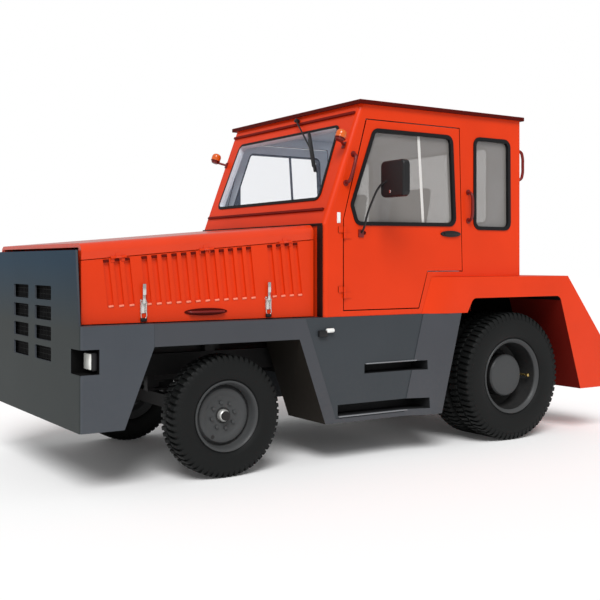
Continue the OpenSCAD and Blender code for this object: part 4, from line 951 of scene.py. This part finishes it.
GRAB_BOW = ((0.0, 0.0), (0.05, 0.72), (0.20, 1.0), (0.5, 1.06), (0.80, 1.0), (0.95, 0.72), (1.0, 0.0))


def turn_lamp(side, label):
    """Round amber lamp on a stalk from the screen pillar."""
    foot = SCREEN @ Matrix.Translation(mirrored(side, TURN_FOOT))
    away = Matrix.Translation(mirrored(side, TURN_HEAD))
    head = foot @ away @ Matrix.Rotation(-pi / 2, 4, "Y")
    bm = bmesh.new()
    turned(bm, TURN_LENS, 32)
    bmesh.ops.transform(bm, matrix=head, verts=bm.verts)
    piece(bm, "turn_lens_" + label, amber, replaced=once(side, "turn_lamps"), smooth=50)
    bm = bmesh.new()
    turned(bm, TURN_BASE, 32)
    bmesh.ops.transform(bm, matrix=head, verts=bm.verts)
    made = rod_into(bm, (0, -0.004, -0.030), (side * 0.056, -0.082, -0.030), 0.009, 12)
    made += box_into(bm, (-0.018, -0.008, -0.054), (0.018, -0.0006, -0.006), 0.003)
    bmesh.ops.transform(bm, matrix=foot, verts=made)
    piece(bm, "turn_base_" + label, handle)


def grab_bar(name, side, feet, out, replaced=()):
    """Bowed grab handle between two feet, standing out from its wall by the vector out."""
    low, high, out = [Vector(mirrored(side, point)) for point in (*feet, out)]
    points = [low + along * (high - low) + bow * out for along, bow in GRAB_BOW]
    tube(name, points, GRAB_R, handle, replaced=replaced)
    bm = bmesh.new()
    step = out.normalized() * 0.007
    for foot in (low, high):
        rod_into(bm, foot + step * 0.08, foot + step, 0.021, 20, 0.0015)
    piece(bm, name + "_feet", handle)


for side, label in SIDES:
    turn_lamp(side, label)
    grab_bar("pillar_handle_" + label, side, PILLAR_GRAB, GRAB_OUT, once(side, "grab_handles"))
    grab_bar("door_handle_bar_" + label, side, DOOR_GRAB, GRAB_OUT)
    grab_bar("rear_handle_" + label, side, REAR_GRAB, REAR_GRAB_OUT)


# Doors: mirrors, handles and locks

MIRROR = (1.125, -0.205, 1.912)
MIRROR_HOUSING = (0.250, 0.055, 0.245)
MIRROR_GLASS = (0.226, 0.003, 0.221)
MIRROR_GLASS_AT = (1.125, -0.1765, 1.912)
MIRROR_ARM = ((0.876, -0.300, 1.556), (0.904, -0.300, 1.582), (0.930, -0.294, 1.662),
    (0.965, -0.272, 1.770), (1.015, -0.246, 1.868), (1.075, -0.226, 1.905))
MIRROR_FOOT = ((WALL_X, -0.322, 1.524), (CAB_X + 0.009, -0.278, 1.578))
MIRROR_BOLT = (1.107, -0.2322, 1.826)
DOOR_OVAL = (0.012, 0.188, 0.046)
DOOR_OVAL_AT = (CAB_X + 0.0065, 0.514, 1.560)
DOOR_GRIP = ((CAB_X + 0.011, 0.446, 1.552), (CAB_X + 0.022, 0.585, 1.571))
DOOR_LOCK = (WALL_X, -0.270, 1.555)
GASKET_FOOT = 1.585  # the plain handle of the CAD node lies below


def upright_plate(size, corner):
    """A new mesh with a plate at the origin that faces along Y, its four corners rounded."""
    bm = bmesh.new()
    half = Vector(size) / 2
    box_into(bm, -half, half)
    soften(bm, corner, lambda middle, length: abs(middle.x) > 0.1 and abs(middle.z) > 0.1, 6)
    return bm


def mirror(side, label):
    """Door mirror: rounded housing, glass on the rear face, bent arm, foot and bolt."""
    body = "door_" + label
    bm = upright_plate(MIRROR_HOUSING, 0.036)
    soften(bm, 0.014, lambda middle, length: middle.y < -0.02, 3)
    soften(bm, 0.005, lambda middle, length: middle.y > 0.02, 2)
    bmesh.ops.translate(bm, verts=bm.verts, vec=mirrored(side, MIRROR))
    even(piece(bm, "mirror_housing_" + label, plastic, body, ["mirror_" + label], 50))
    bm = upright_plate(MIRROR_GLASS, 0.028)
    bmesh.ops.translate(bm, verts=bm.verts, vec=mirrored(side, MIRROR_GLASS_AT))
    piece(bm, "mirror_glass_" + label, mirror_face, body)
    tube("mirror_arm_" + label, [mirrored(side, point) for point in MIRROR_ARM], 0.0075, plastic, body)
    slab("mirror_foot_" + label, side, MIRROR_FOOT, 0.003, handle, body)
    bm = bmesh.new()
    bolt = Vector(mirrored(side, MIRROR_BOLT))
    rod_into(bm, bolt, bolt - Vector((0, 0.004, 0)), 0.011, 20, 0.001)
    piece(bm, "mirror_bolt_" + label, chrome, body)


def door_fittings(side, label):
    """Window gasket from the CAD node, oval handle and lock."""
    body = "door_" + label
    bm = merged("door_trim_" + label)
    bmesh.ops.delete(bm, geom=[v for v in bm.verts if v.co.z < GASKET_FOOT], context="VERTS")
    piece(bm, "door_gasket_" + label, gasket, body, ["door_trim_" + label])
    bm = oval_plate(DOOR_OVAL, 40)
    soften(bm, 0.003, lambda middle, length: side * middle.x > 0.004)
    bmesh.ops.translate(bm, verts=bm.verts, vec=mirrored(side, DOOR_OVAL_AT))
    side_box(bm, side, DOOR_GRIP, 0.004)
    piece(bm, "door_handle_" + label, plastic, body)
    bm = bmesh.new()
    lock = Vector(mirrored(side, DOOR_LOCK))
    rod_into(bm, lock, lock + Vector((side * 0.004, 0, 0)), 0.013, 20, 0.001)
    piece(bm, "door_lock_" + label, orange_shade, body)


for side, label in SIDES:
    mirror(side, label)
    door_fittings(side, label)


# Cab: wiper, headliner and dashboard

WIPER_OUT = -0.027
HEADLINER = ((-0.822, -0.245, 2.410), (0.822, 1.180, 2.437))
DASH_OUT = Vector((0.0, 0.965, 0.263))  # the way that the dashboard's face looks
DASH_Y = -0.3605
DASH_Z = 1.512
GAUGES = (3, 0.285, 0.105)  # how many, the first one's place across, the step
SWITCHES = (6, -0.35, 0.07)
DASH_LEAN = radians(15)
NEEDLE_LEAN = radians(60)


def wiper():
    """Wiper on the header: motor cap, arm and blade across the driver's side of the screen."""
    pivot = Vector((0.118, WIPER_OUT, SCREEN_L - 0.046))
    top = Vector((0.355, WIPER_OUT, SCREEN_HIGH - 0.022))
    low = Vector((0.604, WIPER_OUT, SCREEN_LOW + 0.205))
    middle, reach = (top + low) / 2, (top - low).length / 2
    bm = bmesh.new()
    rod_into(bm, (pivot.x, -0.001, pivot.z), (pivot.x, -0.036, pivot.z), 0.016, 20, 0.004)
    rod_into(bm, pivot, middle, 0.006, 12)
    made = box_into(bm, (-0.017, -0.007, -0.72 * reach), (0.017, 0.004, 0.72 * reach), 0.004)
    made += box_into(bm, (-0.009, -0.006, -reach), (0.009, 0.005, reach), 0.003)
    made += box_into(bm, (-0.003, 0.003, -reach), (0.003, 0.018, reach), 0.001)
    turn = UP.rotation_difference((top - low).normalized()).to_matrix()
    bmesh.ops.rotate(bm, verts=made, cent=ORIGIN, matrix=turn)
    bmesh.ops.translate(bm, verts=made, vec=middle)
    bmesh.ops.transform(bm, matrix=SCREEN, verts=bm.verts)
    piece(bm, "wiper_set", plastic, replaced=["wiper"])


def dash_fittings():
    """Three round gauges and a row of switches on the dashboard's slanted face."""
    rings, faces, needles = bmesh.new(), bmesh.new(), bmesh.new()
    count, first, step = GAUGES
    for i in range(count):
        spot = Vector((first + step * i, DASH_Y, DASH_Z))
        rod_into(rings, spot - 0.010 * DASH_OUT, spot + 0.009 * DASH_OUT, 0.041, 36, 0.003)
        rod_into(faces, spot, spot + 0.0098 * DASH_OUT, 0.035, 36, 0.0005)
        made = box_into(needles, (-0.0012, -0.004, -0.0005), (0.0012, 0.026, 0.0005))
        turn = Matrix.Rotation(NEEDLE_LEAN, 4, "X") @ Matrix.Rotation(radians(50 - 45 * i), 4, "Z")
        bmesh.ops.transform(needles, matrix=Matrix.Translation(spot + 0.0106 * DASH_OUT) @ turn, verts=made)
    lean = Matrix.Rotation(DASH_LEAN, 4, "X")
    count, first, step = SWITCHES
    for i in range(count):
        made = box_into(faces, (-0.019, -0.008, -0.026), (0.019, 0.006, 0.026), 0.003)
        place = Matrix.Translation((first + step * i, DASH_Y, DASH_Z))
        bmesh.ops.transform(faces, matrix=place @ lean, verts=made)
    piece(rings, "gauge_rings", chrome)
    piece(faces, "gauge_faces", gasket)
    piece(needles, "gauge_needles", red)


wiper()
slab("headliner", 1, HEADLINER, 0.008, lining)
dash_fittings()


# Sides: pale strips at the toe slots, a painted highlight, and the marker lamp at the cab's foot

STEP_LIPS = (
    ((0.868, -0.262, 0.6535), (0.8855, 0.245, 0.6615)),
    ((0.868, -0.490, 0.3085), (0.8865, 0.245, 0.3165)))
MARKER_BASE = ((0.8745, -0.660, 0.856), (0.900, -0.588, 0.900))
MARKER_LENS = ((0.892, -0.600, 0.897), (0.892, -0.540, 0.899))

for side, label in SIDES:
    bm = bmesh.new()
    for lip in STEP_LIPS:
        side_box(bm, side, lip, 0.003)
    piece(bm, "step_lips_" + label, step_lip_highlight)
    slab("marker_base_" + label, side, MARKER_BASE, 0.008, plastic)
    bm = bmesh.new()
    rod_into(bm, *[mirrored(side, end) for end in MARKER_LENS], 0.015, 20, 0.006)
    piece(bm, "marker_lens_" + label, lamp)


# Pieces shown as drawn

for name in ("frame_rails", "front_axle", "rear_axle", "knuckle_left", "knuckle_right", "tie_rod"):
    paint_node(name, chassis)
for name in ("engine", "hitch"):
    paint_node(name, iron)
for name in ("radiator", "cab_floor", "dashboard", "steering_wheel"):
    paint_node(name, plastic)


# Tail lamps

TAIL_BASE = ((0.647, 2.1853, 0.417), (0.813, 2.1993, 0.523))
TAIL_LENSES = (("tail_lens_", red, 0.655, 0.752), ("rear_turn_lens_", amber, 0.754, 0.805))
TAIL_LENS_Y = (2.1953, 2.2153)
TAIL_RIB_Y = (2.2113, 2.2193)
TAIL_Z = (0.425, 0.515)
TAIL_RIBS = 5
TAIL_RIB_STEP = 0.015


def tail_lamp(side, label):
    """Lamp on a black base: a ribbed red lens with the amber turn lens outboard of it."""
    slab("tail_lamp_base_" + label, side, TAIL_BASE, 0.004, plastic, replaced=once(side, "tail_lamps"))
    for name, mat, x0, x1 in TAIL_LENSES:
        bm = bmesh.new()
        side_box(bm, side, ((x0, TAIL_LENS_Y[0], TAIL_Z[0]), (x1, TAIL_LENS_Y[1], TAIL_Z[1])), 0.006)
        for i in range(TAIL_RIBS):
            z = TAIL_Z[0] + TAIL_RIB_STEP * (i + 1)
            rib = (x0 + 0.008, TAIL_RIB_Y[0], z - 0.004), (x1 - 0.008, TAIL_RIB_Y[1], z + 0.004)
            side_box(bm, side, rib, 0.003)
        piece(bm, name + label, mat)


for side, label in SIDES:
    tail_lamp(side, label)


# Windows

DIVIDER = ((0.8527, -0.012, -0.312), (0.8565, 0.012, 0.312))
DIVIDER_AT = Matrix.Translation((0, 0.247, 1.944)) @ Matrix.Rotation(radians(4.0), 4, "X")
# A small pale lens on a plate, on the cab's side by the screen pillar.
PILLAR_PLATE = ((WALL_X, -0.499, 1.618), (CAB_X + 0.003, -0.471, 1.690))
PILLAR_LENS = ((CAB_X + 0.002, -0.495, 1.624), (CAB_X + 0.010, -0.475, 1.684))


def screen_reveal(centre, normal):
    """The deep inner side of the windscreen's seal."""
    spot, facing = TO_SCREEN @ centre, TO_SCREEN.to_3x3() @ normal
    toward = Vector((0.0, 0.0, (SCREEN_LOW + SCREEN_HIGH) / 2)) - spot
    return abs(spot.y) < 0.06 and abs(facing.y) < 0.5 and facing.x * toward.x + facing.z * toward.z > 0


def side_pane(centre, normal):
    """The outer face of a window in the cab's side."""
    return normal.x * centre.x > 0 and abs(normal.x) > SQUARE and abs(centre.x) > 0.85


TINTED = [("tint", side_tint, side_pane)]
panel("cab_seals", gasket, parts=[("reveal", lining, screen_reveal)])
panel("cab_glass", glass, parts=TINTED)
for side, label in SIDES:
    panel("door_glass_" + label, glass, "door_" + label, parts=TINTED)
    bm = bmesh.new()
    bmesh.ops.transform(bm, matrix=DIVIDER_AT, verts=side_box(bm, side, DIVIDER, 0.0015))
    piece(bm, "window_divider_" + label, pale_metal, "door_" + label)
    bm = bmesh.new()
    side_box(bm, side, PILLAR_PLATE, 0.001)
    side_box(bm, side, PILLAR_LENS, 0.003)
    piece(bm, "pillar_lens_" + label, lamp)


# Seats

SEAT_X = 0.400
SEAT_FOOT = 1.0016
CUSHION_HALF = Vector((0.222, 0.215, 0.046))
CUSHION_AT = (SEAT_X, 0.200, SEAT_FOOT + 0.393)
CUSHION_SEAMS = ((0, -0.105), (0, 0.105), (1, -0.135))  # axis of the pad, place along it
BACK_HALF = Vector((0.222, 0.036, 0.235))
BACK_AT = (SEAT_X, 0.503, SEAT_FOOT + 0.690)
BACK_SEAMS = ((0, -0.105), (0, 0.105), (2, 0.115))
BACK_LEAN = Matrix.Rotation(-atan2(0.085, 0.490), 4, "X")
PAD_ROUND = 0.045
PAD_VOXEL = 0.007
SWELL_FRAMES = 20
SWELL_PRESSURE = 4.0
SWELL_CAP = 0.012
SEW_DEPTH = 0.006
SEW_WIDTH = 0.009


def fine_mesh(bm, name):
    """A closed shape as an object of small even faces."""
    rough = bpy.data.meshes.new(name + "_rough")
    bm.to_mesh(rough)
    bm.free()
    obj = new_object(name, rough)
    remesh = obj.modifiers.new("even", "REMESH")
    remesh.mode = "VOXEL"
    remesh.voxel_size = PAD_VOXEL
    graph = bpy.context.evaluated_depsgraph_get()
    obj.data = bpy.data.meshes.new_from_object(obj.evaluated_get(graph))
    obj.modifiers.remove(remesh)
    bpy.data.meshes.remove(rough)
    return obj


def swell(obj):
    """Blows a pad up as stuffed cloth, each point by no more than the cap."""
    cloth = obj.modifiers.new("stuffing", "CLOTH")
    cloth.settings.use_pressure = True
    cloth.settings.uniform_pressure_force = SWELL_PRESSURE
    cloth.settings.effector_weights.gravity = 0.0
    cloth.point_cache.frame_end = SWELL_FRAMES
    for step in range(1, SWELL_FRAMES + 1):
        bpy.context.scene.frame_set(step)
    graph = bpy.context.evaluated_depsgraph_get()
    blown = obj.evaluated_get(graph).to_mesh()
    ends = [vert.co.copy() for vert in blown.vertices]
    obj.modifiers.remove(cloth)
    for vert, spot in zip(obj.data.vertices, ends):
        move = spot - vert.co
        vert.co += move * min(1.0, SWELL_CAP / max(move.length, TINY))
    bpy.context.scene.frame_set(1)


def sew(obj, seams, across):
    """Presses sewn channels into a pad's face that looks along across."""
    for vert in obj.data.vertices:
        press = max(exp(-(((vert.co[axis] - place) / SEW_WIDTH) ** 2)) for axis, place in seams)
        vert.co -= across * SEW_DEPTH * press * max(0.0, vert.normal.dot(across))


def pad(name, half, place, across, seams):
    """A seat pad with rounded corners, swelled and sewn, at the left seat."""
    bm = bmesh.new()
    box_into(bm, -half, half)
    soften(bm, PAD_ROUND, longer(0.0), 4)
    obj = fine_mesh(bm, name)
    swell(obj)
    sew(obj, seams, across)
    obj.data.transform(place)
    obj.data.shade_smooth()
    obj.data.materials.append(leather)
    return obj


def finish_pad(obj, replaced=()):
    """The pad as a piece of the model, with one subdivision."""
    levels = obj.modifiers.new("smooth", "SUBSURF")
    levels.levels = levels.render_levels = 1
    enlist(obj, "chassis", replaced)


def seat_foot(x, label):
    """Boxed foot, pan and the two bars that carry the back."""
    bm = bmesh.new()
    box_into(bm, (x - 0.205, 0.024, SEAT_FOOT), (x + 0.205, 0.220, SEAT_FOOT + 0.330), 0.006)
    box_into(bm, (x - 0.225, -0.010, SEAT_FOOT + 0.322), (x + 0.225, 0.430, SEAT_FOOT + 0.340), 0.005)
    for dx in (-0.15, 0.15):
        rod_into(bm, (x + dx, 0.455, SEAT_FOOT + 0.345), (x + dx, 0.520, SEAT_FOOT + 0.620), 0.014, 12)
    piece(bm, "seat_foot_" + label, plastic)


def make_seats():
    """Two seats: foot, cushion and back, the right pads copies of the left ones."""
    cushion = pad("seat_cushion_left", CUSHION_HALF, Matrix.Translation(CUSHION_AT), UP, CUSHION_SEAMS)
    leaned = Matrix.Translation(BACK_AT) @ BACK_LEAN
    back = pad("seat_back_left", BACK_HALF, leaned, Vector((0, -1, 0)), BACK_SEAMS)
    for obj, replaced in ((cushion, ["seats"]), (back, [])):
        other = new_object(obj.name.replace("left", "right"), obj.data.copy())
        other.data.transform(Matrix.Translation((-2 * SEAT_X, 0, 0)))
        finish_pad(other)
        finish_pad(obj, replaced)
    for side, label in SIDES:
        seat_foot(side * SEAT_X, label)


make_seats()


# Floor, light and camera

WHITE = (1.0, 1.0, 1.0, 1.0)
FLOOR_HALF = 60.0
FLOOR_LIFT = 0.025
WORLD_LIGHT = 0.50
SUN_FROM = Vector((0.58, -0.38, 0.72))
SUN_STRENGTH = 2.35
SUN_ANGLE = radians(30)
CAMERA_AT = (6.176, -4.258, 1.355)
CAMERA_BACK = Vector((0.8375, -0.5465, 0.0))  # from what it sees to the camera
CAMERA_LENS = 57.94
CAMERA_SENSOR = 36.0
CAMERA_SHIFT = -0.0633


def make_floor():
    """A pale floor that keeps the shadow and is lifted to white for the camera."""
    bm = bmesh.new()
    bmesh.ops.create_grid(bm, x_segments=1, y_segments=1, size=FLOOR_HALF)
    mesh = bpy.data.meshes.new("floor")
    bm.to_mesh(mesh)
    bm.free()
    mat = material("floor", (0.98, 0.98, 0.98), 0.9, shine=0.0)
    tree = mat.node_tree
    shader = tree.nodes["Principled BSDF"]
    shader.inputs["Emission Color"].default_value = WHITE
    seen = tree.nodes.new("ShaderNodeLightPath").outputs["Is Camera Ray"]
    tree.links.new(math_node(tree, "MULTIPLY", seen, FLOOR_LIFT), shader.inputs["Emission Strength"])
    mesh.materials.append(mat)
    new_object("floor", mesh)


def make_world():
    """Soft even light, white to the camera and through glass."""
    world = bpy.data.worlds.new("studio")
    bpy.context.scene.world = world
    world.use_nodes = True
    tree = world.node_tree
    back = tree.nodes["Background"]
    back.inputs["Color"].default_value = WHITE
    path = tree.nodes.new("ShaderNodeLightPath")
    seen = math_node(tree, "MAXIMUM", path.outputs["Is Camera Ray"], path.outputs["Is Transmission Ray"])
    tree.links.new(ramp(tree, seen, 0.0, 1.0, WORLD_LIGHT, 1.0), back.inputs["Strength"])


def make_sun():
    """One soft sun from the front left."""
    light = bpy.data.lights.new("key", "SUN")
    light.energy = SUN_STRENGTH
    light.angle = SUN_ANGLE
    new_object("key", light).rotation_euler = SUN_FROM.to_track_quat("Z", "Y").to_euler()


def make_camera():
    """The photograph's viewpoint: level, from the front left."""
    data = bpy.data.cameras.new("camera")
    data.sensor_width = CAMERA_SENSOR
    data.lens = CAMERA_LENS
    data.shift_y = CAMERA_SHIFT
    obj = new_object("camera", data)
    obj.location = CAMERA_AT
    obj.rotation_euler = CAMERA_BACK.to_track_quat("Z", "Y").to_euler()
    bpy.context.scene.camera = obj


make_floor()
make_world()
make_sun()
make_camera()
bpy.context.scene.view_settings.view_transform = "Standard"
